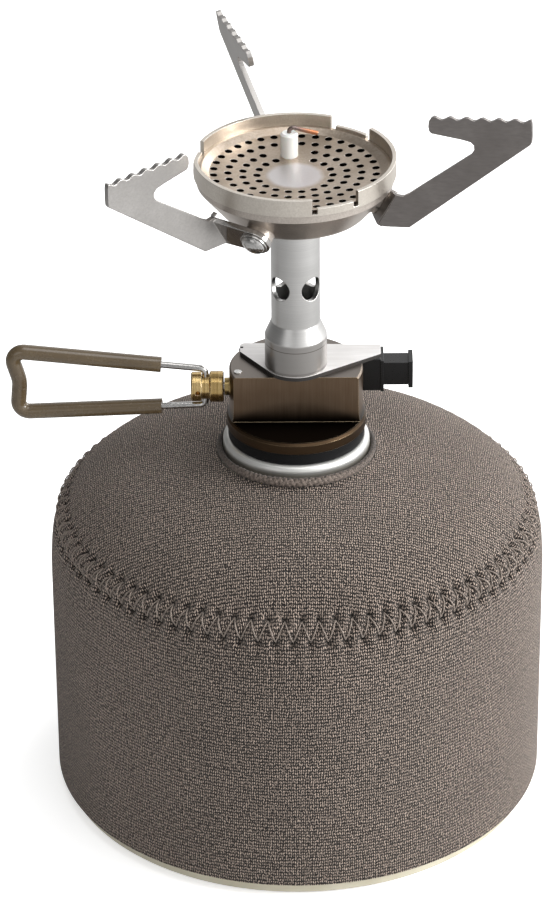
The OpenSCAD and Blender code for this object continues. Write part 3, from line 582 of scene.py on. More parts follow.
@dataclass(frozen=True)
class Coated:
    """A moulded, glazed or painted finish: colour, shine and a fine skin."""

    name: str
    colour: str
    shade: str
    roughness: float
    skin_mm: float
    skin_depth_mm: float = 0.01
    rough_swing: float = 0.06
    edge_mm: float = 0.15
    cloud_mm: float = 12.0
    ior: float = 1.5
    specular: float = 0.5
    coat: float = 0.0
    coat_rough: float = 0.1
    subsurface: float = 0.0
    subsurface_mm: float = 0.5

    def build(self) -> bpy.types.Material:
        """Build the material's nodes.

        Returns:
            The material.
        """
        material, tree = new_material(self.name)
        mm = place_in_mm(tree)
        skin = add(tree, "TexNoise", {"Vector": mm, "Scale": 1.0 / self.skin_mm, "Detail": 3.0})
        cloud = add(tree, "TexNoise", {"Vector": mm, "Scale": 1.0 / self.cloud_mm, "Detail": 3.0})
        level = add(tree, "MapRange", {0: cloud, 1: 0.35, 2: 0.65})
        colour = add(tree, "Mix", {0: level, 6: linear(self.shade), 7: linear(self.colour)}, data_type="RGBA")
        rough = add(tree, "MapRange", {0: skin, 1: 0.3, 2: 0.7, 3: self.roughness - self.rough_swing,
                                       4: self.roughness + self.rough_swing})
        edge = add(tree, "Bevel", {0: self.edge_mm * MM}, samples=BEVEL_SAMPLES)
        bump = add(tree, "Bump", {"Distance": self.skin_depth_mm * MM, "Height": skin,
                                  "Normal": edge})
        paint(tree, {"Base Color": colour.outputs[2], "Roughness": rough, "Normal": bump, "IOR": self.ior,
                     "Specular IOR Level": self.specular, "Coat Weight": self.coat,
                     "Coat Roughness": self.coat_rough, "Subsurface Weight": self.subsurface,
                     "Subsurface Scale": self.subsurface_mm * MM})
        return material


@dataclass(frozen=True)
class Jersey:
    """Jersey knit over thin foam: rows of V-shaped stitches, matte, with a soft fuzz.

    Such a knit has a wale every 0.5 mm or so. The wales are drawn at 1 mm, each
    with its two legs, so that the stitches still show at the size of the photograph.
    """

    name: str = "nylon jersey knit"
    colour: str = "#bfac9e"
    shade: str = "#15110f"
    hole_shade_colour: str = "#0c0a09"
    sheen_colour: str = "#d8cec6"
    wale_mm: float = 1.0
    course_mm: float = 0.8
    depth_mm: float = 0.38
    wander_mm: float = 0.9
    slant: float = 1.1
    leg_share: float = 0.7
    yarn_share: float = 0.4
    fuzz_share: float = 1.9
    low: float = 1.69
    high: float = 1.95

    def stitches(self, tree: Tree, place: Socket) -> Socket:
        """Lay the rows of stitches as a height: two slanted legs in each wale.

        Args:
            tree: the material's nodes.
            place: the place on the flat knit, in millimetres.

        Returns:
            The height's socket.
        """
        wobble = add(tree, "TexNoise", {"Vector": place, "Scale": 0.45})
        centred = add(tree, "VectorMath", {0: wobble.outputs["Color"], 1: (-0.5, -0.5, 0.0)}, operation="ADD")
        bent = add(tree, "VectorMath", {0: centred, 1: (self.wander_mm, self.wander_mm, 0.0), 2: place},
                   operation="MULTIPLY_ADD")
        split = add(tree, "SeparateXYZ", {0: bent})
        across = add(tree, "Math", {0: split.outputs[0], 1: self.wale_mm}, operation="DIVIDE")
        fraction = add(tree, "Math", {0: across}, operation="FRACT")
        offset = add(tree, "Math", {0: fraction, 1: 0.5}, operation="SUBTRACT")
        side = add(tree, "Math", {0: offset}, operation="ABSOLUTE")
        up = add(tree, "Math", {0: split.outputs[1], 1: self.course_mm}, operation="DIVIDE")
        slanted = add(tree, "Math", {0: side, 1: self.slant, 2: up}, operation="MULTIPLY_ADD")
        turn = add(tree, "Math", {0: slanted, 1: math.tau}, operation="MULTIPLY")
        yarn = add(tree, "Math", {0: turn}, operation="SINE")
        yarn_level = add(tree, "MapRange", {0: yarn, 1: -1.0, 2: 1.0})
        lean = add(tree, "Math", {0: side, 1: math.tau}, operation="MULTIPLY")
        leg = add(tree, "Math", {0: lean}, operation="SINE")
        height = add(tree, "Math", {0: leg, 1: self.leg_share}, operation="MULTIPLY")
        stitch = add(tree, "Math", {0: yarn_level, 1: self.yarn_share, 2: height}, operation="MULTIPLY_ADD")
        return stitch.outputs[0]

    def build(self) -> bpy.types.Material:
        """Build the material's nodes.

        Returns:
            The material.
        """
        material, tree = new_material(self.name)
        place = add(tree, "UVMap", uv_map=KNIT_UV).outputs[0]
        tall = add(tree, "Mapping", {"Vector": place, "Scale": (1.0, 0.55, 1.0)})
        fuzz = add(tree, "TexNoise", {"Vector": tall, "Scale": 2.2, "Detail": 3.0, "Roughness": 0.75})
        relief = add(tree, "Math", {0: fuzz, 1: self.fuzz_share, 2: self.stitches(tree, place)},
                     operation="MULTIPLY_ADD")
        cloud = add(tree, "TexNoise", {"Vector": place, "Scale": 0.06, "Detail": 4.0})
        level = add(tree, "MapRange", {0: relief, 1: self.low, 2: self.high})
        patch = add(tree, "MapRange", {0: cloud, 1: 0.3, 2: 0.7, 3: 0.86, 4: 1.04})
        share = add(tree, "Math", {0: level, 1: patch}, operation="MULTIPLY")
        colour = add(tree, "Mix", {0: share, 6: linear(self.shade), 7: linear(self.colour)}, data_type="RGBA")
        # Painted shade in the needle holes, read from the mesh
        hole = add(tree, "Attribute", attribute_name=HOLE_SHADE).outputs["Fac"]
        deep = add(tree, "Mix", {0: hole, 6: colour.outputs[2], 7: linear(self.hole_shade_colour)},
                   data_type="RGBA")
        bump = add(tree, "Bump", {"Distance": self.depth_mm * MM, "Height": relief})
        paint(tree, {"Base Color": deep.outputs[2], "Normal": bump, "Roughness": 0.86,
                     "Specular IOR Level": 0.25, "Sheen Weight": 0.4, "Sheen Roughness": 0.45,
                     "Sheen Tint": linear(self.sheen_colour)})
        return material


@dataclass(frozen=True)
class Thread:
    """Spun sewing thread: two plies that show as slanted lines, and painted shade between its wraps."""

    name: str
    colour: str
    shade: str
    ply_mm: float = 0.35
    depth_mm: float = 0.06
    turn: Triple = (0.6, 0.5, 0.4)
    gap_shade_colour: str = "#14100e"

    def build(self) -> bpy.types.Material:
        """Build the material's nodes.

        Returns:
            The material.
        """
        material, tree = new_material(self.name)
        mm = place_in_mm(tree, turn=self.turn)
        plies = add(tree, "TexWave", {"Vector": mm, "Scale": 0.5 / self.ply_mm, "Distortion": 2.5,
                                      "Detail": 2.0, "Detail Scale": 1.5})
        fray = add(tree, "TexNoise", {"Vector": mm, "Scale": 2.5, "Detail": 3.0})
        both = add(tree, "Math", {0: plies.outputs["Fac"], 1: 0.6, 2: fray}, operation="MULTIPLY_ADD")
        level = add(tree, "MapRange", {0: both, 1: 0.4, 2: 1.1})
        colour = add(tree, "Mix", {0: level, 6: linear(self.shade), 7: linear(self.colour)}, data_type="RGBA")
        gap = add(tree, "Attribute", attribute_name=WRAP_SHADE).outputs["Fac"]
        deep = add(tree, "Mix", {0: gap, 6: colour.outputs[2], 7: linear(self.gap_shade_colour)}, data_type="RGBA")
        bump = add(tree, "Bump", {"Strength": 0.8, "Distance": self.depth_mm * MM, "Height": both})
        paint(tree, {"Base Color": deep.outputs[2], "Normal": bump, "Roughness": 0.72,
                     "Specular IOR Level": 0.35, "Sheen Weight": 0.15})
        return material


class Finishes:
    """Every finish of the stove, built once and shared by its pieces."""

    def __init__(self) -> None:
        """Build all the materials."""
        cast = {
            # Tinplate with an ivory enamel: soft gloss, faint orange peel
            "can": Coated("ivory enamel on tinplate", "#d0cab6", "#c3bca6", 0.38, 0.9, 0.012),
            # Rolled aluminium: bright ring with faint level marks from the die, a darker lower curl as
            # painted shade and a faint painted highlight on its edges
            "lip": FootedMetal("rolled aluminium lip", "#e2e2df", "#c9c8c4", 0.4, Grain.TURNED, 0.25, 0.02,
                               metallic=0.7, edge_highlight=0.2, foot_colour="#b5b0a6", from_z_mm=86.3,
                               to_z_mm=87.1, band_z_mm=0.0, line_z_mm=0.0),
            # Turned brass: a yellow glint that runs round in fine rings
            "brass": Metal("turned brass", "#bda877", "#8a744a", 0.2, Grain.TURNED_X, 0.16, 0.014,
                           centre_mm=(0.0, 0.0, 100.3)),
            # Anodised brass knob: warm gold with the lathe's coarser rings
            "knob": Metal("turned gold-anodised knob", "#e6ca92", "#94763f", 0.2, Grain.TURNED_X, 0.3, 0.045,
                          edge_mm=0.2, centre_mm=(0.0, 0.0, 100.3)),
            # Nitrile rubber: dull black
            "rubber": Coated("nitrile rubber", "#0a0a0c", "#050506", 0.55, 0.3, 0.01, specular=0.25),
            # Tumbled and polished stainless: small sharp highlights
            "steel": Metal("polished stainless", "#d6d5d3", "#aaa8a6", 0.16, Grain.BLASTED, 0.5, 0.006,
                           rough_swing=0.05, edge_mm=0.2),
            # Moulded acetal without dye: milky and even
            "inner": Coated("natural acetal", "#d7cdb4", "#c9bd9f", 0.5, 0.6),
            # Anodised aluminium, milled: olive bronze, near black at its foot and on the ledge as a painted
            # dark reflection, greyer on top as a painted reflection, with a painted highlight on its edges
            "bronze": FootedMetal("bronze-anodised aluminium", "#7c6957", "#6a5847", 0.36, Grain.DRAWN, 0.3,
                                  0.006, rough_swing=0.04, edge_mm=0.2, edge_highlight=0.7, edge_highlight_colour="#cdb897",
                                  top_reflection_colour="#807973"),
            # Bright-rolled sheet: pale and soft on its faces, with painted shade on its upright walls
            "plate": Metal("bright-rolled steel plate", "#f5f3f2", "#dedbd9", 0.42, Grain.BRUSHED, 0.35,
                           0.006, metallic=0.5, edge_highlight=0.1, shaded_wall_colour="#3b3836"),
            # Satin-anodised tube: soft highlight that runs up it
            "column": FootedMetal("satin-anodised aluminium", "#d8d7d5", "#c5c4c2", 0.36, Grain.TURNED, 0.22,
                                  0.01, edge_mm=0.2, foot_colour="#a5a29f", from_z_mm=113.4, to_z_mm=113.9,
                                  band_colour="#8d8a87", band_z_mm=107.0, line_z_mm=112.2),
            # Tumbled stainless with a warm tint, darker on its inside faces; its rim's edges carry a painted
            # highlight
            "bowl": InsideDarkMetal("warm satin stainless", "#d6cdc4", "#b9b0a7", 0.36, Grain.BLASTED, 0.4,
                                0.012),
            "rim": Metal("warm satin stainless rim", "#e4ddd3", "#cec6bb", 0.36, Grain.BLASTED, 0.4, 0.012,
                         edge_mm=0.15, edge_highlight=0.7),
            # Pressed and tumbled plate: warm grey, with a painted highlight on the lips round its holes and
            # painted shade on their walls
            "flame": PlateMetal("pressed burner plate", "#c6b9ab", "#a39484", 0.4, Grain.BLASTED, 0.5, 0.02,
                                edge_highlight=0.8, shaded_wall_colour="#2a211a"),
            # Glazed alumina: white with a wet glint
            "ceramic": Coated("glazed alumina", "#f3f3f0", "#ebebe6", 0.22, 1.2, 0.01, ior=1.6, coat=0.4,
                              subsurface=0.1),
            # Drawn nickel wire: grey, turned copper red by the flame
            "electrode": TintedWire("heat-tinted electrode wire", "#9a8b86", "#6b5c58", 0.28, Grain.DRAWN,
                                    0.2),
            # Tinned copper: dull grey
            "lead": Metal("tinned lead", "#8a8886", "#6e6c6a", 0.4, Grain.DRAWN, 0.2),
            # Glass-filled nylon: black, faint sheen, fine mould texture
            "black": Coated("black glass-filled nylon", "#0e0e0f", "#070708", 0.32, 0.25, 0.01, specular=0.4),
            # Extruded vinyl sleeving: glossy olive brown with a long thin highlight
            "grip": Coated("extruded olive vinyl", "#5f5039", "#524430", 0.26, 1.6, 0.01, ior=1.52, coat=0.5,
                           coat_rough=0.08, edge_mm=0.06),
            # Pressed stainless: satin with short scratches and a painted highlight on its edges; the right
            # arm's grey copy is painted shade
            "arm_light": Metal("pressed stainless, pale", "#b9b6b3", "#a6a3a0", 0.4, Grain.BRUSHED, 0.4,
                               edge_mm=0.2),
            "arm_worn": PolishedEndMetal("pressed stainless, worn bright at its rivet", "#b9b6b3", "#a6a3a0",
                                         0.4, Grain.BRUSHED, 0.4, edge_mm=0.3, edge_highlight=0.8),
            # Painted shade: a darker copy of the same stainless for the right arm
            "arm_dark": Metal("pressed stainless, painted grey shade", "#8f8a87", "#7f7a77", 0.42, Grain.BRUSHED, 0.4,
                              edge_mm=0.2),
            # Knit and its threads: matte, with a soft fuzz
            "knit": Jersey(),
            "thread": Thread("spun polyester thread", "#a3968b", "#453b35"),
            "binding": Thread("overlocked neck thread", "#998a7f", "#1b1410"),
        }
        self.table = {key: finish.build() for key, finish in cast.items()}

    def __getitem__(self, key: str) -> bpy.types.Material:
        """Return the material of a finish by its short name."""
        return self.table[key]


def dress(node: str, material: bpy.types.Material) -> None:
    """Give a CAD node's object one material.

    Args:
        node: the node's name.
        material: what it is made of.
    """
    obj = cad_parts[node]
    obj.data.materials.clear()
    obj.data.materials.append(material)
    LOG.info("dressed %s in %s", node, material.name)


def finish_piece(obj: bpy.types.Object, body: str, slot: str, material: bpy.types.Material,
                 *nodes: str) -> None:
    """Put a new piece in its material and body and let it stand for its nodes.

    Args:
        obj: the piece, in place.
        body: the body that it rides on.
        slot: not used.
        material: what it is made of.
        *nodes: the CAD nodes that it replaces.
    """
    obj.data.materials.clear()
    obj.data.materials.append(material)
    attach(obj, body)
    if nodes:
        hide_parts(*nodes)
    LOG.info("built %s: %d faces", obj.name, len(obj.data.polygons))


# The canister and its sleeve


@dataclass
class KnitSleeve:
    """The sleeve: a side panel and a domed top panel, joined by a zigzag seam.

    Lengths are in millimetres. A run is the length walked up the cloth from its hem.
    """

    # The can's shape under the cloth, whose shoulder is a dome with a power each way
    outer_r: float = 56.36
    start_z: float = 53.4
    top_z: float = 85.8
    plan_power: float = 1.935
    rise_power: float = 3.452
    dome_steps: int = 4000
    # The cloth's ends and thickness, and the rows of points across it
    hem_z: float = 3.2
    neck_r: float = 17.8
    wall: float = 1.4
    crease_deg: float = 60.0
    steps_per_stitch: int = 14
    fine_row: float = 0.34
    fine_reach: float = 6.5
    # The seam, with its two rows of needle holes
    seam_r: float = 54.0
    stitches: int = 89
    row_gap: float = 2.35
    hole_wide: float = 0.8
    hole_long: float = 1.04
    hole_deep: float = 1.15
    # How the cloth stands proud beside the seam: heights, then the widths over which they fade
    ridge: float = 0.42
    cord: float = 0.3
    groove: float = 0.25
    gather_top: float = 0.2
    gather_low: float = 0.22
    gather_run: float = 3.6
    ridge_wide: float = 2.1
    cord_wide: float = 1.8
    groove_wide: float = 0.35
    gather_top_fade: float = 2.0
    gather_low_fade: float = 2.8
    # The seam's legs of thread: how far they stand off the cloth and sink in the holes
    leg_points: int = 7
    leg_up: float = 0.36
    leg_sunk: float = 0.75
    thread_r: float = 0.17
    thread_sides: int = 6
    # The neck's pull to the front, its raised rim and the dip before it
    slip: float = 1.95
    slip_fade: float = 9.0
    slip_power: float = 2.5
    neck_up: float = 0.55
    neck_up_fade: float = 1.3
    dip: float = 0.3
    dip_run: float = 2.0
    dip_wide: float = 0.7
    # The rolled and whipped edge
    edge_mid_r: float = 17.05
    edge_z: float = 86.1
    edge_r: float = 0.5
    edge_front_r: float = 1.12
    edge_wraps: int = 100
    edge_lean: float = 2.2
    edge_drop: float = 0.5
    edge_steps: int = 9
    edge_sides: int = 20
    body: str = "canister"
    arc: np.ndarray = field(default_factory=lambda: np.zeros((0, 3)))

    def dome(self, t: float) -> tuple[float, float]:
        """Return radius and height of the dome at a turn from 0 to a quarter."""
        c, s = max(0.0, math.cos(t)), max(0.0, math.sin(t))
        return (self.outer_r * c ** (2 / self.plan_power),
                self.start_z + (self.top_z - self.start_z) * s ** (2 / self.rise_power))

    def trace(self) -> None:
        """Walk the sleeve from hem to neck and note radius, height and run."""
        points = [(self.outer_r, self.hem_z), (self.outer_r, self.start_z)]
        points += [self.dome(math.acos((r / self.outer_r) ** (self.plan_power / 2)))
                   for r in np.linspace(self.outer_r, self.neck_r, self.dome_steps)[1:]]
        run, arc = 0.0, [(*points[0], 0.0)]
        for a, b in zip(points, points[1:]):
            run += math.dist(a, b)
            arc.append((*b, run))
        self.arc = np.array(arc)

    def at_run(self, run: float) -> tuple[float, float]:
        """Return radius and height at a run."""
        runs = self.arc[:, 2]
        return float(np.interp(run, runs, self.arc[:, 0])), float(np.interp(run, runs, self.arc[:, 1]))

    def run_at_radius(self, radius: float) -> float:
        """Return the run where the dome has a radius."""
        dome = self.arc[self.arc[:, 1] >= self.start_z][::-1]
        return float(np.interp(radius, dome[:, 0], dome[:, 2]))

    def normal_at(self, run: float, reach: float = 0.15) -> tuple[float, float]:
        """Return the outward normal's radial and upward parts at a run.

        Args:
            run: the run.
            reach: how far each way the cloth's slope is taken over.

        Returns:
            The two parts.
        """
        a, b = self.at_run(run - reach), self.at_run(run + reach)
        size = math.dist(a, b)
        return (b[1] - a[1]) / size, (a[0] - b[0]) / size

    def slipped(self, angle: np.ndarray) -> np.ndarray:
        """Return how far the neck is pulled outwards at an angle, which is most at the front."""
        return self.slip * (0.5 - 0.5 * np.sin(angle)) ** self.slip_power

    def pucker(self, angle: np.ndarray, run: np.ndarray) -> np.ndarray:
        """Work out how far the cloth stands proud beside the seam.

        Args:
            angle: angle round the axis, in radians.
            run: the run from the seam, up being positive.

        Returns:
            The height over the smooth cloth.
        """
        phase = angle * self.stitches / math.tau
        slanted = np.cos(math.tau * (phase - run / (4 * self.row_gap) - 0.25))
        above = np.exp(-np.abs(run - self.gather_run) / self.gather_top_fade)
        below = np.exp(-np.abs(run + self.gather_run) / self.gather_low_fade)
        return (self.ridge * bell(run, self.ridge_wide) + self.cord * slanted * bell(run, self.cord_wide)
                - self.groove * bell(run, self.groove_wide)
                + self.gather_top * np.cos(math.tau * (phase + 0.5)) * above
                + self.gather_low * np.cos(math.tau * phase) * below
                - self.hole_deep * self.holes(angle, run))

    def holes(self, angle: np.ndarray, run: np.ndarray) -> np.ndarray:
        """Tell how near each point is to a needle hole of either row.

        Args:
            angle: angle round the axis, in radians.
            run: the run from the seam, up being positive.

        Returns:
            A share from 0 to 1, which is 1 at a hole's middle.
        """
        pitch = math.tau * self.seam_r / self.stitches
        share = np.zeros_like(angle)
        for turn, row in ((0.0, self.row_gap), (0.5, -self.row_gap)):
            phase = angle * self.stitches / math.tau + turn
            across = (phase - np.round(phase)) * pitch
            share += bell(across, self.hole_wide) * bell(run - row, self.hole_long)
        return share

    def panel(self, name: str, runs: list[float], seam: float, flat: bool) -> bpy.types.Object:
        """Spin one panel, pucker it beside the seam and give it its thickness.

        Args:
            name: the piece's name.
            runs: the runs at which the panel has a row of points.
            seam: the run of the seam.
            flat: True where the knit was cut as a flat disc.

        Returns:
            The panel.
        """
        obj = profile(name, [(r * MM, z * MM) for r, z in (self.at_run(s) for s in runs)])
        spin_round(obj, self.stitches * self.steps_per_stitch)
        co = points_of(obj)
        radius, angle = polar(co)
        rows = np.array([[*self.at_run(s), s, *self.normal_at(s)] for s in runs])
        nearest = np.argmin((radius[:, None] / MM - rows[None, :, 0]) ** 2
                            + (co[:, 2][:, None] / MM - rows[None, :, 1]) ** 2, axis=1)
        run = rows[nearest, 2]
        lift = self.pucker(angle, run - seam)
        to_end = self.arc[-1, 2] - run
        out_r = rows[nearest, 3] * lift + self.slipped(angle) * np.exp(-to_end / self.slip_fade)
        out_z = (rows[nearest, 4] * lift + self.neck_up * np.exp(-to_end / self.neck_up_fade)
                 - self.dip * bell(to_end - self.dip_run, self.dip_wide))
        co += np.stack([np.cos(angle) * out_r, np.sin(angle) * out_r, out_z], axis=1) * MM
        set_points(obj, co)
        self.lay_knit(obj, run, angle, flat)
        # Painted shade in the needle holes: a share by which the knit's material darkens
        note(obj, HOLE_SHADE, 0.9 * np.clip(1.5 * self.holes(angle, run - seam) - 0.3, 0, 1))
        solid = obj.modifiers.new("wall", "SOLIDIFY")
        solid.thickness = self.wall * MM
        solid.offset = -1.0
        solid.use_rim = True
        apply_all(obj)
        select_only(obj)
        bpy.ops.object.shade_smooth_by_angle(angle=math.radians(self.crease_deg))
        return obj

    def lay_knit(self, obj: bpy.types.Object, run: np.ndarray, angle: np.ndarray, flat: bool) -> None:
        """Write the knit's own coordinates as a UV map.

        Args:
            obj: the panel, before it has its thickness.
            run: the run of each vertex.
            angle: angle of each vertex, in radians.
            flat: True where the knit was cut as a flat disc.
        """
        mesh = obj.data
        uv = mesh.uv_layers.new(name=KNIT_UV)
        loops = np.empty(len(mesh.loops), np.int32)
        mesh.loops.foreach_get("vertex_index", loops)
        if flat:
            reach = self.run_at_radius(self.neck_r) + self.neck_r - run
            u, v = reach * np.cos(angle), reach * np.sin(angle)
            values = np.stack([u[loops], v[loops]], axis=1)
        else:
            # A face across the back has one end at half a turn and the other at minus half a turn
            share = angle[loops] / math.tau
            poly = np.repeat(np.arange(len(mesh.polygons)), [p.loop_total for p in mesh.polygons])
            low = np.full(len(mesh.polygons), 2.0)
            high = -low
            np.minimum.at(low, poly, share)
            np.maximum.at(high, poly, share)
            wraps = (high - low)[poly] > 0.5
            share = np.where(wraps & (share < 0), share + 1.0, share)
            values = np.stack([share * math.tau * self.outer_r, run[loops]], axis=1)
        uv.data.foreach_set("uv", values.astype(np.float32).ravel())

    def leg(self, seam: float, angle: float, side: float) -> list[Vector]:
        """Lay one leg of thread from an upper needle hole to a lower one beside it.

        Args:
            seam: the run of the seam.
            angle: the upper hole's angle, in radians.
            side: how much further round the lower hole is.

        Returns:
            The points of the leg, in metres.
        """
        path = []
        last = self.leg_points - 1
        for k in range(self.leg_points):
            share = k / last
            run = self.row_gap * (1 - 2 * share)
            turn = angle + side * share
            lift = -self.leg_sunk
            if 0 < k < last:
                lift = self.leg_up + float(self.pucker(np.array([turn]), np.array([run]))[0])
            r, z = self.at_run(seam + run)
            n = self.normal_at(seam + run)
            r, z = r + n[0] * lift, z + n[1] * lift
            path.append(Vector((r * math.cos(turn), r * math.sin(turn), z)) * MM)
        return path

    def stitch_line(self) -> bpy.types.Object:
        """Sew the seam: two legs of thread run down from each upper hole.

        Returns:
            All the legs as one mesh.
        """
        seam, step = self.run_at_radius(self.seam_r), math.tau / self.stitches
        legs = [self.leg(seam, step * i, step * side) for i in range(self.stitches) for side in (-0.5, 0.5)]
        return tubes("seam_stitches", legs, self.thread_r * MM, self.thread_sides)

    def neck_edge(self) -> bpy.types.Object:
        """Roll and whip the neck's edge: a round edge with a wrap of thread every millimetre.

        Returns:
            The edge as one mesh.
        """
        middle, level = self.edge_mid_r * MM, self.edge_z * MM
        bpy.ops.object.select_all(action="DESELECT")
        bpy.ops.mesh.primitive_torus_add(major_segments=self.edge_steps * self.edge_wraps,
                                         minor_segments=self.edge_sides, major_radius=middle,
                                         minor_radius=self.edge_r * MM, location=(0, 0, level))
        obj = bpy.context.object
        obj.name = obj.data.name = "neck_whipping"
        bake_place(obj)
        co = points_of(obj)
        radius, angle = polar(co)
        radius, height = radius - middle, co[:, 2] - level
        round_ = np.arctan2(height, radius)
        wraps = np.abs(np.sin(0.5 * (angle * self.edge_wraps + self.edge_lean * round_)))
        uneven = np.sin(angle * 7.0 + 1.3) * np.sin(angle * 17.0)
        front = self.slipped(angle) / self.slip
        swell = 1.0 + (self.edge_front_r / self.edge_r - 1.0) * front
        grow = swell * (1.0 + 0.5 * (wraps - 0.8) + 0.03 * uneven)
        out = middle + radius * grow + self.slipped(angle) * MM
        z = level - self.edge_drop * (1.0 - front) * MM + height * grow
        set_points(obj, np.stack([np.cos(angle) * out, np.sin(angle) * out, z], axis=1))
        # Painted shade: dark between the wraps, most on the inner side, and dark below and away from the
        # front
        between = np.clip(1.9 - 2.3 * wraps, 0, 1) * (0.55 + 0.45 * np.clip((round_ - 0.9) / 0.5, 0, 1))
        below = np.clip(-1.2 * round_ - 0.1, 0, 1)
        note(obj, WRAP_SHADE, 0.97 * np.maximum.reduce([between, below, 0.9 * (1.0 - front)]))
        select_only(obj)
        bpy.ops.object.shade_smooth()
        return obj

    def build(self, finishes: Finishes) -> None:
        """Build the sleeve's pieces.

        Args:
            finishes: the stove's materials.
        """
        self.trace()
        seam = self.run_at_radius(self.seam_r)
        end = float(self.arc[-1, 2])
        fine, reach = self.fine_row, self.fine_reach
        side = ([0.0, 0.6, 1.4] + list(np.linspace(4, seam - reach, 12))
                + list(np.arange(seam - reach + fine, seam - 0.01, fine)) + [seam])
        top = ([seam] + list(np.arange(seam + fine, seam + reach, fine))
               + list(np.linspace(seam + reach + 0.6, end - 1.2, 14)) + [end - 0.5, end])
        panel = self.panel("sleeve_side_knit", side, seam, False)
        finish_piece(panel, self.body, "knit", finishes["knit"], "sleeve_side")
        panel = self.panel("sleeve_top_knit", top, seam, True)
        finish_piece(panel, self.body, "knit", finishes["knit"], "sleeve_top")
        finish_piece(self.stitch_line(), self.body, "thread", finishes["thread"], "seam_thread")
        finish_piece(self.neck_edge(), self.body, "thread", finishes["binding"], "neck_binding")


@dataclass
class Assembly:
    """A sub-assembly whose CAD nodes keep their shapes and get their finishes."""

    coats: dict[str, str]

    def build(self, finishes: Finishes) -> None:
        """Dress each node.

        Args:
            finishes: the stove's materials.
        """
        for node, key in self.coats.items():
            dress(node, finishes[key])


def assemblies() -> list[Assembly]:
    """List the sub-assemblies whose nodes are dressed as they are.

    Returns:
        The canister, burner base, column, burner head, supports, igniter and control.
    """
    canister = Assembly({"can_base": "can", "can_body": "can", "valve_cup": "lip", "thread_boss": "brass",
                         "valve_gasket": "rubber", "valve_stem": "steel", "valve_housing": "inner"})
    base = Assembly({"seat_ring": "rubber", "thread_socket": "brass", "probe_pin": "steel",
                     "probe_oring": "rubber", "valve_block": "bronze", "block_pin": "steel",
                     "gland_nut": "brass", "spindle_oring": "rubber", "jet": "brass", "jet_filter": "lead"})
    column = Assembly({"bracket_plate": "plate", "mixing_tube": "column", "ignition_lead": "lead"})
    head = Assembly({"burner_bowl": "bowl", "rim_wall": "rim", "flame_plate": "flame",
                     "insulator": "ceramic", "electrode_wire": "electrode"})
    supports = Assembly({"arm_left": "arm_worn", "arm_right": "arm_dark", "arm_back": "arm_light",
                         "rivet_left": "steel", "rivet_right": "steel", "rivet_back": "steel",
                         "washer_left": "steel", "washer_right": "steel", "washer_back": "steel"})
    igniter = Assembly({"igniter_housing": "black", "igniter_button": "black", "piezo_unit": "inner",
                        "piezo_plunger": "steel"})
    control = Assembly({"valve_knob": "knob", "needle_spindle": "steel", "handle_wire": "steel",
                        "handle_grip": "grip"})
    return [canister, base, column, head, supports, igniter, control]


# The studio


@dataclass(frozen=True)
class Lamp:
    """A round soft box: its place, width and power, and what it is aimed at."""

    name: str
    place: Triple
    size: float
    watts: float
    aim: Triple = (0.0, 0.0, 0.09)


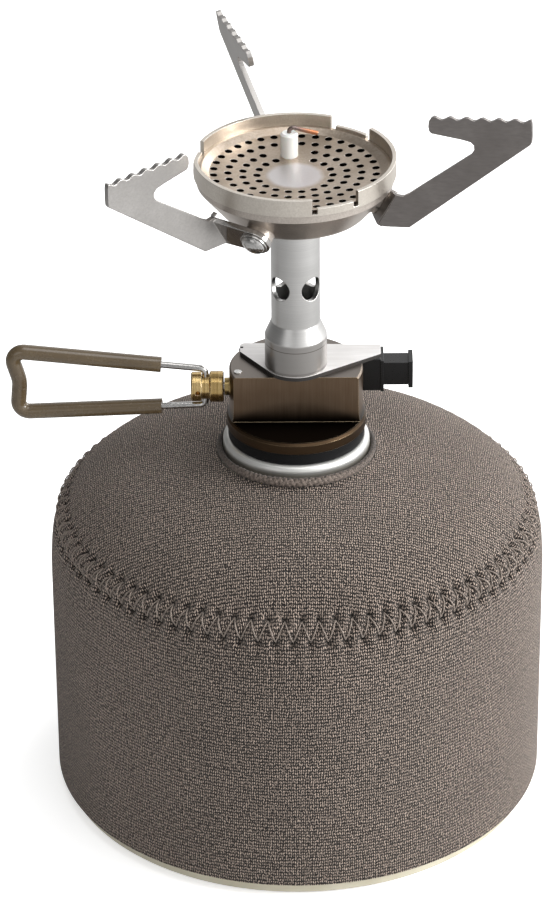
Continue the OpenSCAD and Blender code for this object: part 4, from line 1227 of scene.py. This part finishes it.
@dataclass
class Studio:
    """A pale floor, soft lights and the camera of the photograph."""

    focal_px: float = 4233.11
    frame_px: float = 915.0
    half_width_px: float = 276.0
    centre_px: float = 296.518
    sensor_mm: float = 36.0
    distance: float = 0.832108
    height: float = 0.561625
    pitch: float = 60.026
    roll: float = 0.331
    clip: tuple[float, float] = (0.05, 20.0)
    floor_size: float = 6.0
    floor_z: float = -0.0004
    room_left: float = 0.19
    room_right: float = 1.25
    lamps: tuple[Lamp, ...] = (
        Lamp("key", (1.0, -0.25, 0.5), 0.6, 12.0),
        Lamp("top", (0.15, -0.2, 1.3), 0.9, 4.2),
        Lamp("fill", (-0.7, -1.1, 0.5), 0.8, 1.4, (0.0, 0.0, 0.08)),
        Lamp("rim", (0.7, 0.9, 0.6), 0.6, 5.0, (0.0, 0.0, 0.1)),
        Lamp("back", (-0.15, 1.2, 0.75), 0.9, 0.7, (0.0, 0.0, 0.1)),
    )

    def camera(self) -> None:
        """Set the camera where the photograph was taken from."""
        data = bpy.data.cameras.new("camera")
        data.sensor_width = self.sensor_mm
        data.sensor_fit = "AUTO"
        data.lens = self.focal_px * self.sensor_mm / self.frame_px
        data.shift_x = (self.half_width_px - self.centre_px) / self.frame_px
        data.clip_start, data.clip_end = self.clip
        camera = bpy.data.objects.new("camera", data)
        camera.location = (0.0, -self.distance, self.height)
        camera.rotation_mode = "XYZ"
        camera.rotation_euler = (math.radians(self.pitch), 0.0, 0.0)
        bpy.context.scene.collection.objects.link(camera)
        camera.rotation_euler.rotate_axis("Z", -math.radians(self.roll))
        bpy.context.scene.camera = camera

    def lights(self) -> None:
        """Hang the soft boxes."""
        for lamp in self.lamps:
            data = bpy.data.lights.new(lamp.name, "AREA")
            data.shape = "DISK"
            data.size = lamp.size
            data.energy = lamp.watts
            box = bpy.data.objects.new(lamp.name, data)
            box.location = lamp.place
            box.rotation_euler = (Vector(lamp.aim) - Vector(lamp.place)).to_track_quat("-Z", "Y").to_euler()
            bpy.context.scene.collection.objects.link(box)

    def across(self, tree: Tree, output: str, low: float) -> bpy.types.Node:
        """Grow the room's light from left to right.

        Args:
            tree: the nodes of the world or the floor.
            output: the texture coordinate to go by.
            low: where on it the room's left is.

        Returns:
            The light's node.
        """
        split = add(tree, "SeparateXYZ", {0: add(tree, "TexCoord").outputs[output]})
        return add(tree, "MapRange", {0: split, 1: low, 2: 0.9, 3: self.room_left, 4: self.room_right},
                   interpolation_type="SMOOTHSTEP")

    def surroundings(self) -> None:
        """Light the room evenly and show it white behind the stove."""
        world = bpy.data.worlds.new("studio")
        bpy.context.scene.world = world
        world.use_nodes = True
        tree = world.node_tree
        tree.nodes.clear()
        rays = add(tree, "LightPath").outputs
        direct = add(tree, "Math", {0: rays["Is Camera Ray"], 1: rays["Is Transmission Ray"]},
                     operation="MAXIMUM")
        seen = add(tree, "Math", {0: direct, 1: rays["Is Glossy Ray"]}, operation="MAXIMUM")
        across = self.across(tree, "Generated", -0.7)
        room = add(tree, "Background", {0: linear("#ffffff"), 1: across})
        level = add(tree, "Mix", {0: direct, 2: across, 3: 1.0}, data_type="FLOAT")
        white = add(tree, "Background", {0: linear("#ffffff"), 1: level})
        add(tree, "OutputWorld", {0: add(tree, "MixShader", {0: seen, 1: room, 2: white})})

    def floor(self) -> None:
        """Lay the floor, which is white and keeps the stove's shadow."""
        bpy.ops.object.select_all(action="DESELECT")
        bpy.ops.mesh.primitive_plane_add(size=self.floor_size, location=(0, 0, self.floor_z))
        obj = bpy.context.object
        obj.name = obj.data.name = "floor"
        bake_place(obj)
        material, tree = new_material("matte white floor")
        tree.nodes.clear()
        rays = add(tree, "LightPath").outputs
        paper = add(tree, "BsdfDiffuse", {0: linear("#f4f4f4")})
        glow = add(tree, "Emission", {0: linear("#ffffff"), 1: 0.55})
        lit = add(tree, "AddShader", {0: paper, 1: glow})
        mirrored = add(tree, "Emission", {0: linear("#ffffff"), 1: self.across(tree, "Object", -0.9)})
        viewed = add(tree, "MixShader", {0: rays["Is Camera Ray"], 1: paper, 2: lit})
        mix = add(tree, "MixShader", {0: rays["Is Glossy Ray"], 1: viewed, 2: mirrored})
        add(tree, "OutputMaterial", {0: mix})
        obj.data.materials.append(material)

    def build(self) -> None:
        """Set up the whole studio."""
        bpy.context.scene.view_settings.view_transform = "Standard"
        self.camera()
        self.lights()
        self.surroundings()
        self.floor()


def main() -> None:
    """Build the studio, the sleeve and every other finish, and report each piece."""
    logging.basicConfig(level=logging.INFO, format="%(message)s")
    Studio().build()
    finishes = Finishes()
    KnitSleeve().build(finishes)
    for assembly in assemblies():
        assembly.build(finishes)


if __name__ == "__main__":
    main()
